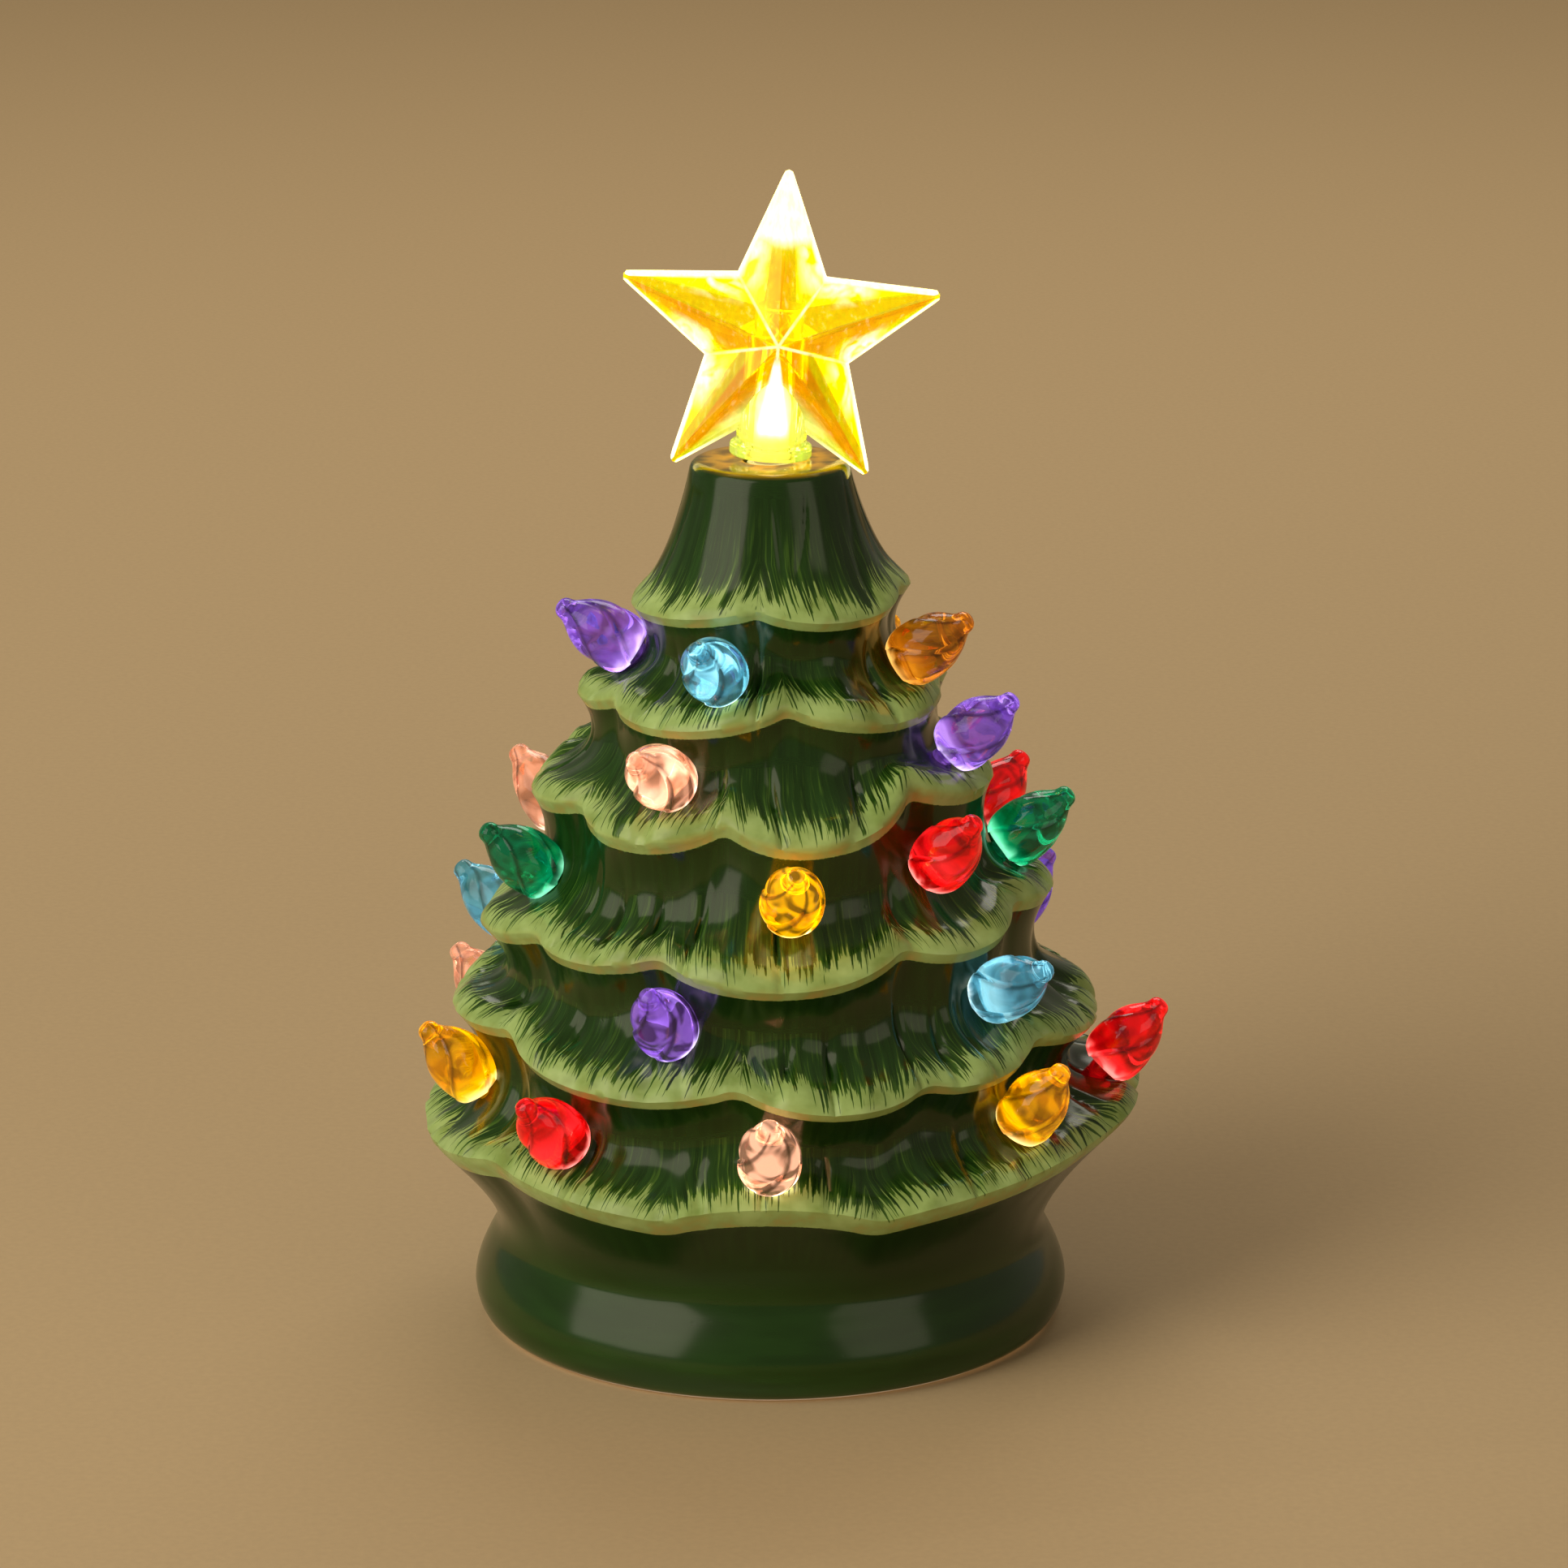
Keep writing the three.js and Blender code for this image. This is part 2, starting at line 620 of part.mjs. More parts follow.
function caseTray() {
  const ring = turned([
    [0, caseBottom], [flangeRadius, caseBottom], [flangeRadius, caseFloor], [caseRadius, caseFloor],
    [caseRadius, caseTop], [caseRadius - sheet, caseTop], [caseRadius - sheet, caseFloor], [0, caseFloor],
  ], 36);
  const outer = [bayHalfLength + bayWall, bayHalfWidth + bayWall];
  const bay = block([-outer[0], -outer[1], caseBottom], [outer[0], outer[1], bayTop])
    .subtract(block([-bayHalfLength, -bayHalfWidth, caseFloor], [bayHalfLength, bayHalfWidth, bayTop + 1]));
  const rib = block(
    [-bossWidth / 2, outer[1] - bite, caseFloor + gap],
    [bossWidth / 2, caseRadius - sheet / 2, caseFloor + bossHeight],
  );
  const boardRibs = [-1, 1].map((side) => {
    const x = boardPlace + side * (boardLength / 2 - 1);
    return block(
      [x - bayWall / 2, outer[1] - bite, caseFloor - bite],
      [x + bayWall / 2, outer[1] + boardDepth, caseFloor + boardRise],
    );
  });
  const bosses = coverBoss.map(([x, y]) => rod(bossRadius, caseFloor - bite, caseTop, 12, x, y));
  const doorway = block(
    [-doorHalfLength - gap, -bayHalfWidth, 0],
    [doorHalfLength + gap, bayHalfWidth, caseFloor + 0.01],
  );
  const earway = block([-earWidth / 2 - gap, 0, 0], [earWidth / 2 + gap, earEdge + gap, caseFloor + gap]);
  const hookways = [-1, 1].map((side) => {
    const x = (side * hookSpacing) / 2;
    return block(
      [x - hookWidth / 2 - loose, -outer[1] - 1, caseFloor],
      [x + hookWidth / 2 + loose, -bayHalfWidth + 1, caseFloor + 4],
    );
  });
  const slotHalf = travel / 2 + knobLength / 2 + gap;
  const slot = block(
    [switchPlace - slotHalf, knobMiddle - knobDepth / 2 - gap, 0],
    [switchPlace + slotHalf, knobMiddle + knobDepth / 2 + gap, caseFloor + 0.1],
  );
  const screwWay = rod(screwShank + bossSlack, caseFloor, caseFloor + screwGrip + 2, 12, 0, earScrew);
  const wayBottom = caseTop - coverScrewGrip - 2;
  const coverWays = coverBoss.map(([x, y]) => rod(screwShank + gap, wayBottom, caseTop + 1, 12, x, y));
  const joined = [bay, rib, ...boardRibs, ...bosses].reduce((sum, next) => sum.add(next), ring);
  const open = [doorway, earway, slot, screwWay, ...hookways, ...coverWays];
  return open.reduce((sum, next) => sum.subtract(next), joined);
}

function caseCover() {
  const collar = postRadius + gap;
  const disc = turned([
    [0, coverBottom], [caseRadius, coverBottom], [caseRadius, coverTop - collarEdge],
    [caseRadius - collarEdge, coverTop], [collar + sheet, coverTop], [collar + sheet, coverTop + collarRise],
    [collar, coverTop + collarRise], [collar, coverTop],
    [0, coverTop],
  ], 36);
  const ways = coverBoss.map(([x, y]) => rod(screwShank + gap, 0, coverTop + 1, 12, x, y));
  return [rod(postBore, 0, coverTop + 1, 12), ...ways].reduce((sum, next) => sum.subtract(next), disc);
}

function screw(headBottom, shankEnd) {
  const up = Math.sign(shankEnd - headBottom);
  const outline = [
    [0, headBottom], [screwHead - screwEase, headBottom], [screwHead, headBottom + up * screwEase],
    [screwHead, headBottom + up * screwHeadDepth], [screwShank, headBottom + up * screwHeadDepth],
    [screwShank, shankEnd - up * screwEase], [screwShank - screwEase, shankEnd], [0, shankEnd],
  ];
  const arms = [[crossLength / 2, crossWidth / 2], [crossWidth / 2, crossLength / 2]];
  const cross = arms.map(([x, y]) => block(
    [-x, -y, headBottom - screwHeadDepth / 2],
    [x, y, headBottom + screwHeadDepth / 2],
  ));
  return cross.reduce((sum, next) => sum.subtract(next), turned(outline, 12));
}

function batteryDoor() {
  const plate = block(
    [-doorHalfLength, doorEdge + gap, caseBottom],
    [doorHalfLength, bayHalfWidth - gap, caseFloor],
  );
  const ear = block([-earWidth / 2, 0, caseBottom], [earWidth / 2, earEdge, caseFloor]);
  const hooks = [-1, 1].map((side) => {
    const x0 = (side * hookSpacing - hookWidth) / 2;
    const x1 = x0 + hookWidth;
    const hookTop = caseFloor + gap + hookSheet;
    const riser = block([x0, doorEdge + gap, caseBottom], [x1, doorEdge + gap + 1, hookTop]);
    return riser.add(block([x0, doorEdge - hookReach, caseFloor + gap], [x1, doorEdge + gap + 1, hookTop]));
  });
  const grips = [-1, 0, 1].map((row) => block(
    [-gripLength / 2, bayHalfWidth - 5 + row * 2 * gripWidth, 0],
    [gripLength / 2, bayHalfWidth - 5 + (row * 2 + 1) * gripWidth, caseBottom + gripDepth],
  ));
  const sink = rod(screwHead + gap, 0, caseBottom + screwHeadDepth + gap + 0.1, 12, 0, earScrew);
  const way = rod(screwShank + gap, 0, caseFloor + 1, 12, 0, earScrew);
  const whole = [ear, ...hooks].reduce((sum, next) => sum.add(next), plate);
  return [sink, way, ...grips].reduce((sum, next) => sum.subtract(next), whole);
}

function cell() {
  return turned([
    [0, 0], [cellRadius - 0.3, 0], [cellRadius, 0.3], [cellRadius, cellLength - nubLength - 0.6],
    [cellRadius - 0.6, cellLength - nubLength], [nubRadius, cellLength - nubLength], [nubRadius, cellLength],
    [0, cellLength],
  ], 14);
}

// Cells lie along X and point opposite ways in turn, each with a coil at its flat end and a contact at
// its nub.
function cellRow() {
  const meshes = [];
  const points = coilPoints();
  console.log(`contact coil: least gap to itself ${leastSelfGap(points, 2 * coilWire, 5).toFixed(2)} mm`);
  for (let index = 0; index < cells; index += 1) {
    const row = new THREE.Group();
    row.position.set(0, (index - (cells - 1) / 2) * cellPitch, caseFloor + 2 * gap + cellRadius);
    row.rotation.y = index % 2 ? -Math.PI / 2 : Math.PI / 2;
    const number = index + 1;
    const coil = named(`contact_coil_${number}`, tube(points, coilWire, 5), palette.steel);
    coil.position.z = -bayHalfLength + gap;
    const battery = named(`battery_${number}`, cell(), palette.cell);
    battery.position.z = coil.position.z + coilRun + gap;
    const contact = named(`contact_${number}`, block(
      [-contactWidth / 2, -contactWidth / 2, 0],
      [contactWidth / 2, contactWidth / 2, contactSheet],
    ), palette.steel);
    contact.position.z = battery.position.z + cellLength + gap;
    row.add(coil, battery, contact);
    meshes.push(row);
  }
  return meshes;
}

function switchKnob() {
  const tall = block([-knobLength / 2, -knobDepth / 2, caseBottom - knobProud], [
    knobLength / 2, knobDepth / 2, caseFloor + gap + knobFlange,
  ]);
  const flange = block([-knobLength / 2 - 1, -knobDepth / 2 - 0.8, caseFloor + gap], [
    knobLength / 2 + 1, knobDepth / 2 + 0.8, caseFloor + gap + knobFlange,
  ]);
  const grooves = [-1, 0, 1].map((row) => block(
    [row - 0.2, -knobDepth, caseBottom - knobProud - 1],
    [row + 0.2, knobDepth, caseBottom - knobProud + 0.3],
  ));
  return grooves.reduce((sum, next) => sum.subtract(next), tall.add(flange));
}

function caseGroup() {
  const group = new THREE.Group();
  group.add(named('case_tray', caseTray(), palette.shell), named('case_cover', caseCover(), palette.shell));
  group.add(...cellRow());
  group.add(named('battery_door', batteryDoor(), palette.shell));
  const doorScrew = named('door_screw', screw(caseBottom + gap, caseFloor + screwGrip), palette.steel);
  doorScrew.position.y = earScrew;
  group.add(doorScrew);
  const coverScrew = screw(coverTop + gap + screwHeadDepth, caseTop - coverScrewGrip);
  coverBoss.forEach(([x, y], index) => {
    const bolt = named(`cover_screw_${index + 1}`, coverScrew, palette.steel);
    bolt.position.set(x, y, 0);
    group.add(bolt);
  });
  const knobTop = caseFloor + gap + knobFlange;
  group.add(named('switch_body', block(
    [switchPlace - switchLength / 2, switchBack, knobTop + gap],
    [switchPlace + switchLength / 2, switchBack + switchDepth, knobTop + gap + switchHeight],
  ), palette.black));
  const knob = named('switch_knob', switchKnob(), palette.black);
  knob.position.set(switchPlace - travel / 2, knobMiddle, 0);
  group.add(knob);
  const boardBottom = caseFloor + boardRise + gap;
  group.add(named('control_board', block(
    [boardPlace - boardLength / 2, switchBack, boardBottom],
    [boardPlace + boardLength / 2, switchBack + boardDepth, boardBottom + boardSheet],
  ), palette.board));
  return group;
}

// Light post

// A wire rises from the board, crosses above the cells and climbs inside the post to the star's lamp.
function wire(side) {
  const start = caseFloor + boardRise + gap + boardSheet + gap;
  const over = coverBottom - gap - wireRadius;
  const x = boardPlace + side * 2;
  const y = switchBack + boardDepth / 2;
  const end = side * wireSpread;
  const points = [
    [x, y, start], [x, y, over - wireBend], [x * 0.97, y - 0.6, over - 0.3], [x * 0.88, y * 0.9, over],
    [(x + end) / 2, y / 2, over], [end * 2, 1.2, over], [end * 1.1, 0.2, over + 0.6], [end, 0, over + 2],
    [end, 0, topHeight / 2], [end, 0, postTop - 1],
  ];
  return tube(points, wireRadius, 6);
}

function postGroup() {
  const group = new THREE.Group();
  const post = turned([
    [postBore, postFoot], [postRadius, postFoot], [postRadius, postTop], [postBore, postTop],
  ], 16);
  group.add(named('light_post', post, palette.white));
  innerLampShares.forEach((share, index) => {
    const holder = new THREE.Group();
    holder.position.z = share * topHeight;
    holder.rotation.set(Math.PI / 2, 0, 0);
    const spin = new THREE.Group();
    spin.rotation.z = (360 / innerLampShares.length) * index * degree;
    spin.add(holder);
    const lamp = lampBody(innerLampRadius, innerLampLength, innerLampFlange, postRadius + gap);
    holder.add(named(`inner_lamp_${index + 1}`, lamp, palette.lamp));
    group.add(spin);
  });
  group.add(named('wire_red', wire(1), palette.red), named('wire_black', wire(-1), palette.black));
  return group;
}

const tree = new THREE.Group();
const skin = treeSkin();
const placed = bulbs(skin);
const holes = placed.map(({ matrix }) => moved(pegHole, matrix));
const hollow = [treeHollow(), rod(postHole, topHeight - 2 * wall, topHeight + 1, 16), ...holes];
const ceramic = skin.subtract(hollow.reduce((sum, next) => sum.add(next)));
tree.add(named('ceramic_tree', ceramic, palette.glaze), ...placed.map(({ mesh }) => mesh));
tree.add(starGroup(), caseGroup(), postGroup());

export default tree;
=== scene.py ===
"""Looks of a small lit Christmas tree.

It has brushed glaze, clear twist bulbs, a lit star and a battery case in its foot.
"""

import logging
import math
import random
from dataclasses import dataclass, field
from enum import Enum
from functools import partial, reduce

import bmesh
import bpy
import numpy as np
from mathutils import Matrix, Vector, noise


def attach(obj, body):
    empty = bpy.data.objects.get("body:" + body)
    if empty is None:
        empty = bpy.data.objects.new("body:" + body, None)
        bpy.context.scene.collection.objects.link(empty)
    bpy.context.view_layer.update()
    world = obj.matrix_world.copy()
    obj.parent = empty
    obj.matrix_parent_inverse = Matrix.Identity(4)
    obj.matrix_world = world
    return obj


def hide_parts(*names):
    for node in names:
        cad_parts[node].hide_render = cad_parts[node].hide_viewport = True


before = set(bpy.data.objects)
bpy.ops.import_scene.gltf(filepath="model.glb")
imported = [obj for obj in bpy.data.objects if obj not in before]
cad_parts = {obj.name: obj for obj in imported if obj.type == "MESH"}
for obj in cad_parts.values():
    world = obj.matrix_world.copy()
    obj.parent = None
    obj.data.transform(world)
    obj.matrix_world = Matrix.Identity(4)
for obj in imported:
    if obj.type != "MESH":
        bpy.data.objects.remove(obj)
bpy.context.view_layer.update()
LOG = logging.getLogger("christmas_tree_lamp")
MM = 0.001
WELD = 1e-6
ARMS = 5
ARM_TURN = math.tau / ARMS
Point = tuple[float, float]
Triple = tuple[float, float, float]
Colour = Triple
Socket = bpy.types.NodeSocket
Finish = bpy.types.Material
Piece = bpy.types.Object
Mesh = bmesh.types.BMesh


class Body(Enum):
    """The bodies of the part that the new pieces ride on."""

    LAMP = "lamp"
    STAR = "star"


# Shared helpers


class Wiring:
    """The shader nodes of one material and the links between them."""

    def __init__(self, name: str) -> None:
        """Starts an empty material with an output.

        Args:
            name: The material's name.
        """
        self.material = bpy.data.materials.new(name)
        self.material.use_nodes = True
        self.tree = self.material.node_tree
        self.tree.nodes.clear()
        self.output = self.tree.nodes.new("ShaderNodeOutputMaterial")

    def node(self, kind: str, inputs: dict | None = None, **settings: object) -> bpy.types.Node:
        """Adds a node.

        Args:
            kind: The node's type without its "ShaderNode" prefix.
            inputs: Values or sockets for its inputs, by name or number.
            **settings: Properties to set on the node.

        Returns:
            The new node.
        """
        made = self.tree.nodes.new("ShaderNode" + kind)
        for key, value in settings.items():
            setattr(made, key, value)
        for key, value in (inputs or {}).items():
            if isinstance(value, Socket):
                self.tree.links.new(value, made.inputs[key])
            else:
                made.inputs[key].default_value = value
        return made

    def surface(self, **inputs: object) -> Finish:
        """Ends the material in a principled surface.

        Args:
            **inputs: The surface's inputs, with spaces as underscores.

        Returns:
            The finished material.
        """
        named = {key.replace("_", " "): value for key, value in inputs.items()}
        shader = self.node("BsdfPrincipled", named)
        self.tree.links.new(shader.outputs[0], self.output.inputs[0])
        return self.material

    def attribute(self, name: str, output: str = "Fac") -> Socket:
        """Reads a piece's own attribute: its "Fac", or its "Vector"."""
        return self.node("Attribute", attribute_name=name).outputs[output]

    def place(self) -> Socket:
        """Reads Object coordinates."""
        return self.node("TexCoord").outputs["Object"]

    def stretched(self, vector: Socket, scale: Triple) -> Socket:
        """Scales a vector, axis by axis."""
        return self.node("Mapping", {"Vector": vector, "Scale": scale}).outputs[0]

    def cloud(self, vector: Socket, scale: float, detail: float, distortion: float = 0.0) -> Socket:
        """Adds a noise texture and returns its value."""
        values = {"Vector": vector, "Scale": scale, "Detail": detail, "Distortion": distortion}
        return self.node("TexNoise", values).outputs[0]

    def math(self, operation: str, *values: object) -> Socket:
        """Adds a math node on up to three values."""
        return self.node("Math", dict(enumerate(values)), operation=operation).outputs[0]

    def times(self, *values: object) -> Socket:
        """Multiplies sockets and numbers."""
        return reduce(partial(self.math, "MULTIPLY"), values)

    def plus(self, *values: object) -> Socket:
        """Adds sockets and numbers."""
        return reduce(partial(self.math, "ADD"), values)

    def largest(self, *values: object) -> Socket:
        """Takes the largest of sockets and numbers."""
        return reduce(partial(self.math, "MAXIMUM"), values)

    def minus(self, first: object, second: object) -> Socket:
        """Subtracts the second value from the first."""
        return self.math("SUBTRACT", first, second)

    def unsigned(self, value: Socket) -> Socket:
        """Drops a value's sign."""
        return self.math("ABSOLUTE", value)

    def distance(self, first: Socket, second: Socket) -> Socket:
        """The length of the line whose two sides are given."""
        return self.math("SQRT", self.plus(self.times(first, first), self.times(second, second)))

    def spread(
        self, value: Socket, low: float, high: float, to_low: float = 0.0, to_high: float = 1.0,
        smooth: bool = False,
    ) -> Socket:
        """Maps a value from one range to another, held at its ends.

        Args:
            value: The socket to map.
            low: The value that becomes to_low.
            high: The value that becomes to_high.
            to_low: The result at the low end.
            to_high: The result at the high end.
            smooth: Whether the step between them is eased.

        Returns:
            The mapped value.
        """
        kind = "SMOOTHSTEP" if smooth else "LINEAR"
        values = {0: value, 1: low, 2: high, 3: to_low, 4: to_high}
        return self.node("MapRange", values, interpolation_type=kind).outputs[0]

    def blend(self, share: object, first: object, second: object, kind: str = "MIX") -> Socket:
        """Mixes two colours.

        Args:
            share: The share of the second colour, a socket or a number.
            first: A colour or a socket.
            second: A colour or a socket.
            kind: The way of mixing.

        Returns:
            The mixed colour.
        """
        made = self.node("Mix", data_type="RGBA", blend_type=kind)
        for key, value in ((0, share), (6, first), (7, second)):
            if isinstance(value, Socket):
                self.tree.links.new(value, made.inputs[key])
            elif key:
                made.inputs[key].default_value = (*value, 1.0)
            else:
                made.inputs[key].default_value = value
        return made.outputs[2]

    def bump(self, height: Socket, depth: float) -> Socket:
        """Raises the surface by a height of 0 to 1 times a depth in metres."""
        return self.node("Bump", {"Height": height, "Distance": depth, "Strength": 1.0}).outputs[0]


def toned(colour: Colour, share: float) -> Colour:
    """A colour with each of its parts times a share."""
    return tuple(share * part for part in colour)


def tube_grid(rows: int, columns: int, closed: bool) -> Mesh:
    """Spins an upright line of points into a plain tube, ready to be shaped.

    A point's height is then its row number, and its turn about Z its column.

    Args:
        rows: How many rows of points the tube has.
        columns: How many columns it has.
        closed: Whether the last row joins the first, as in a hollow ring.

    Returns:
        The tube as a bmesh.
    """
    mesh = bmesh.new()
    line = [mesh.verts.new((rows, 0.0, row)) for row in range(rows)]
    for first, second in zip(line, line[1:]):
        mesh.edges.new((first, second))
    if closed:
        mesh.edges.new((line[-1], line[0]))
    parts = mesh.verts[:] + mesh.edges[:]
    bmesh.ops.spin(
        mesh, geom=parts, cent=(0, 0, 0), axis=(0, 0, 1), dvec=(0, 0, 0), angle=math.tau, steps=columns,
        use_merge=True, use_normal_flip=False, use_duplicate=False,
    )
    return mesh


def grid_place(mesh: Mesh, columns: int) -> tuple[np.ndarray, np.ndarray]:
    """Finds where each point of a spun tube lies.

    Args:
        mesh: The tube, before it is shaped.
        columns: How many columns it has.

    Returns:
        Each point's row number and column number.
    """
    places = np.array([point.co for point in mesh.verts])
    turn = np.arctan2(places[:, 1], places[:, 0]) / math.tau * columns
    return np.rint(places[:, 2]).astype(int), np.rint(turn).astype(int) % columns


def move_points(mesh: Mesh, places: np.ndarray) -> None:
    """Moves every point of a bmesh, given in millimetres."""
    for point, place in zip(mesh.verts, places * MM):
        point.co = place


def finished(mesh: Mesh, name: str, material: Finish, smooth: float | None = 40.0) -> Piece:
    """Turns a bmesh into an object with its faces outward.

    Args:
        mesh: The bmesh, which is freed.
        name: The piece's name.
        material: Its finish.
        smooth: The angle in degrees up to which edges are shaded smooth, or None for flat faces.

    Returns:
        The new object, linked to the scene.
    """
    bmesh.ops.recalc_face_normals(mesh, faces=mesh.faces[:])
    data = bpy.data.meshes.new(name)
    mesh.to_mesh(data)
    mesh.free()
    data.materials.append(material)
    if smooth is not None:
        data.shade_smooth()
        data.set_sharp_from_angle(angle=math.radians(smooth))
    piece = bpy.data.objects.new(name, data)
    bpy.context.scene.collection.objects.link(piece)
    return piece


def give_attribute(piece: Piece, name: str, values: np.ndarray) -> None:
    """Stores a number or a vector for each point of a piece.

    Args:
        piece: The piece.
        name: The attribute's name, which the finish reads.
        values: One number or one vector for each point.
    """
    vector = values.ndim == 2
    made = piece.data.attributes.new(name, "FLOAT_VECTOR" if vector else "FLOAT", "POINT")
    made.data.foreach_set("vector" if vector else "value", values.astype(np.float32).ravel())


def apply_modifiers(piece: Piece) -> None:
    """Bakes a piece's modifiers into its mesh.

    Args:
        piece: The piece, which loses its modifiers.
    """
    seen = piece.evaluated_get(bpy.context.evaluated_depsgraph_get())
    data = bpy.data.meshes.new_from_object(seen)
    old, piece.data = piece.data, data
    piece.modifiers.clear()
    bpy.data.meshes.remove(old)


def turned_points(outline: list[Point], columns: int, matrix: Matrix) -> Mesh:
    """Spins an outline about Z, and closes it where it meets the axis.

    Args:
        outline: Points of (radius, height) in millimetres.
        columns: How many columns the spin has.
        matrix: The matrix that puts the shape in its place, in metres.

    Returns:
        The shape as a bmesh.
    """
    mesh = tube_grid(len(outline), columns, False)
    rows, turns = grid_place(mesh, columns)
    radii, heights = np.array(outline).T
    angles = turns / columns * math.tau
    flat = np.stack([radii[rows] * np.cos(angles), radii[rows] * np.sin(angles), heights[rows]], axis=1)
    move_points(mesh, flat)
    bmesh.ops.remove_doubles(mesh, verts=mesh.verts[:], dist=WELD)
    bmesh.ops.transform(mesh, matrix=matrix, verts=mesh.verts[:])
    return mesh


def dress(node: str, material: Finish, edge: float = 0.0, smooth: float = 35.0) -> None:
    """Gives a kept node its finish, and breaks its edges.

    Args:
        node: The node's name.
        material: Its finish.
        edge: The width in millimetres of the rounding on its sharp edges, or 0 for none.
        smooth: The angle in degrees up to which edges are shaded smooth.
    """
    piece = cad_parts[node]
    piece.data.materials.clear()
    piece.data.materials.append(material)
    weld = piece.modifiers.new("weld", "WELD")
    weld.merge_threshold = WELD
    if edge:
        bevel = piece.modifiers.new("edge", "BEVEL")
        bevel.width = edge * MM
        bevel.segments = 2
        bevel.limit_method = "ANGLE"
        bevel.angle_limit = math.radians(35)
    piece.data.shade_smooth()
    piece.data.set_sharp_from_angle(angle=math.radians(smooth))
    LOG.info("dressed %s", node)


# Finishes


@dataclass(frozen=True)
class BrushedGlaze:
    """Dark green gloss glaze, brushed in fine needles over light green hems, with bare clay at the foot.

    A range gives heights above the hem in millimetres. A stretch gives strokes to a millimetre, across the
    brush and along it.
    """

    deep: Colour = (0.005, 0.021, 0.0015)
    leaf: Colour = (0.013, 0.044, 0.005)
    moss: Colour = (0.055, 0.12, 0.012)
    light: Colour = (0.36, 0.47, 0.15)
    sage: Colour = (0.2, 0.28, 0.06)
    straw: Colour = (0.46, 0.34, 0.09)
    warm_gloss: Colour = (1.0, 0.95, 0.76)
    clay: Colour = (0.6, 0.42, 0.27)
    # Painted light: the amber glow of the star's light, painted on the flat top as emission.
    painted_star_light: Colour = (1.0, 0.42, 0.0)
    painted_light_height: float = 0.1232
    painted_light_reach: Point = (0.0055, 0.0112)
    hair_stretch: Triple = (2.8, 2.8, 0.15)
    tuft_stretch: Triple = (0.34, 0.34, 0.05)
    streak_stretch: Triple = (0.9, 0.9, 0.05)
    hair_share: float = 0.72
    needle_range: Point = (1.3, 8.2)
    straw_range: Point = (0.0, 2.6)
    sage_range: Point = (3.0, 8.0)
    stroke_range: Point = (8.0, 15.0)
    moss_range: Point = (11.0, 17.0)
    roughness: Point = (0.16, 0.23)
    bump_depth: float = 0.00022

    def material(self) -> Finish:
        """Builds the glaze from the tree's hem_rise, brush and bare attributes.

        Returns:
            The material.
        """
        w = Wiring("brushed_glaze")
        rise = w.attribute("hem_rise")
        bare = w.attribute("bare")
        place = w.place()
        over, strokes = self.needles(w, rise)
        bare_hem = w.spread(over, -0.035, 0.045, smooth=True)
        thin = w.times(w.spread(over, -0.5, 0.0, smooth=True), w.spread(rise, *self.moss_range, 1.0, 0.0))
        thin = w.times(thin, w.plus(w.times(strokes, 0.7), 0.3))
        dark = w.blend(thin, w.blend(strokes, self.deep, self.leaf), self.moss)
        paint = w.blend(bare_hem, dark, self.hem(w, rise, w.cloud(place, 230.0, 3.0)))
        grit = w.cloud(place, 2600.0, 2.0)
        clay = w.blend(w.spread(grit, 0.3, 0.7), self.clay, toned(self.clay, 0.8))
        rough = w.plus(w.times(bare, 0.7), w.spread(bare_hem, 0.0, 1.0, *self.roughness))
        pits = w.spread(w.cloud(place, 900.0, 1.0), 0.72, 0.84, 1.0, 0.0)
        waves = w.times(w.cloud(place, 85.0, 1.0), 0.8)
        height = w.plus(waves, w.times(pits, 0.05), w.times(bare_hem, 0.02))
        # The emission is painted light: the star's amber light pooled on the flat top round the post's hole.
        return w.surface(
            Base_Color=w.blend(bare, paint, clay), Roughness=rough, IOR=1.33, Specular_IOR_Level=0.88,
            Specular_Tint=(*self.warm_gloss, 1.0), Normal=w.bump(height, self.bump_depth),
            Emission_Color=(*self.painted_star_light, 1.0), Emission_Strength=self.painted_star_light_strength(w, place),
        )

    def needles(self, w: Wiring, rise: Socket) -> tuple[Socket, Socket]:
        """Draws the needles and the broader strokes among them.

        Args:
            w: The glaze's shader nodes.
            rise: The height above the hem.

        Returns:
            How far the hem shows between the needles, and the strokes' strength.
        """
        brush = w.attribute("brush", "Vector")
        hairs = w.cloud(w.stretched(brush, self.hair_stretch), 1.0, 2.0)
        tufts = w.cloud(w.stretched(brush, self.tuft_stretch), 1.0, 1.0)
        hair = w.plus(w.times(hairs, self.hair_share), w.times(tufts, 1 - self.hair_share))
        over = w.minus(w.spread(hair, 0.37, 0.64), w.spread(rise, *self.needle_range, -0.08, 1.05))
        streak = w.cloud(w.stretched(brush, self.streak_stretch), 1.0, 3.0)
        return over, w.times(w.spread(streak, 0.38, 0.66), w.spread(rise, *self.stroke_range, 1.0, 0.35))

    def hem(self, w: Wiring, rise: Socket, tone: Socket) -> Socket:
        """Colours the pale hem, with straw at its lower edge and sage further up.

        Args:
            w: The glaze's shader nodes.
            rise: The height above the hem.
            tone: Clouds that the tints follow.

        Returns:
            The colour.
        """
        colour = w.blend(w.spread(tone, 0.32, 0.7), self.light, self.sage)
        low = w.spread(rise, *self.straw_range, 1.0, 0.0, True)
        colour = w.blend(w.times(low, w.spread(tone, 0.48, 0.66, 0.0, 0.8)), colour, self.straw)
        return w.blend(w.spread(rise, *self.sage_range, 0.0, 0.7), colour, self.sage)

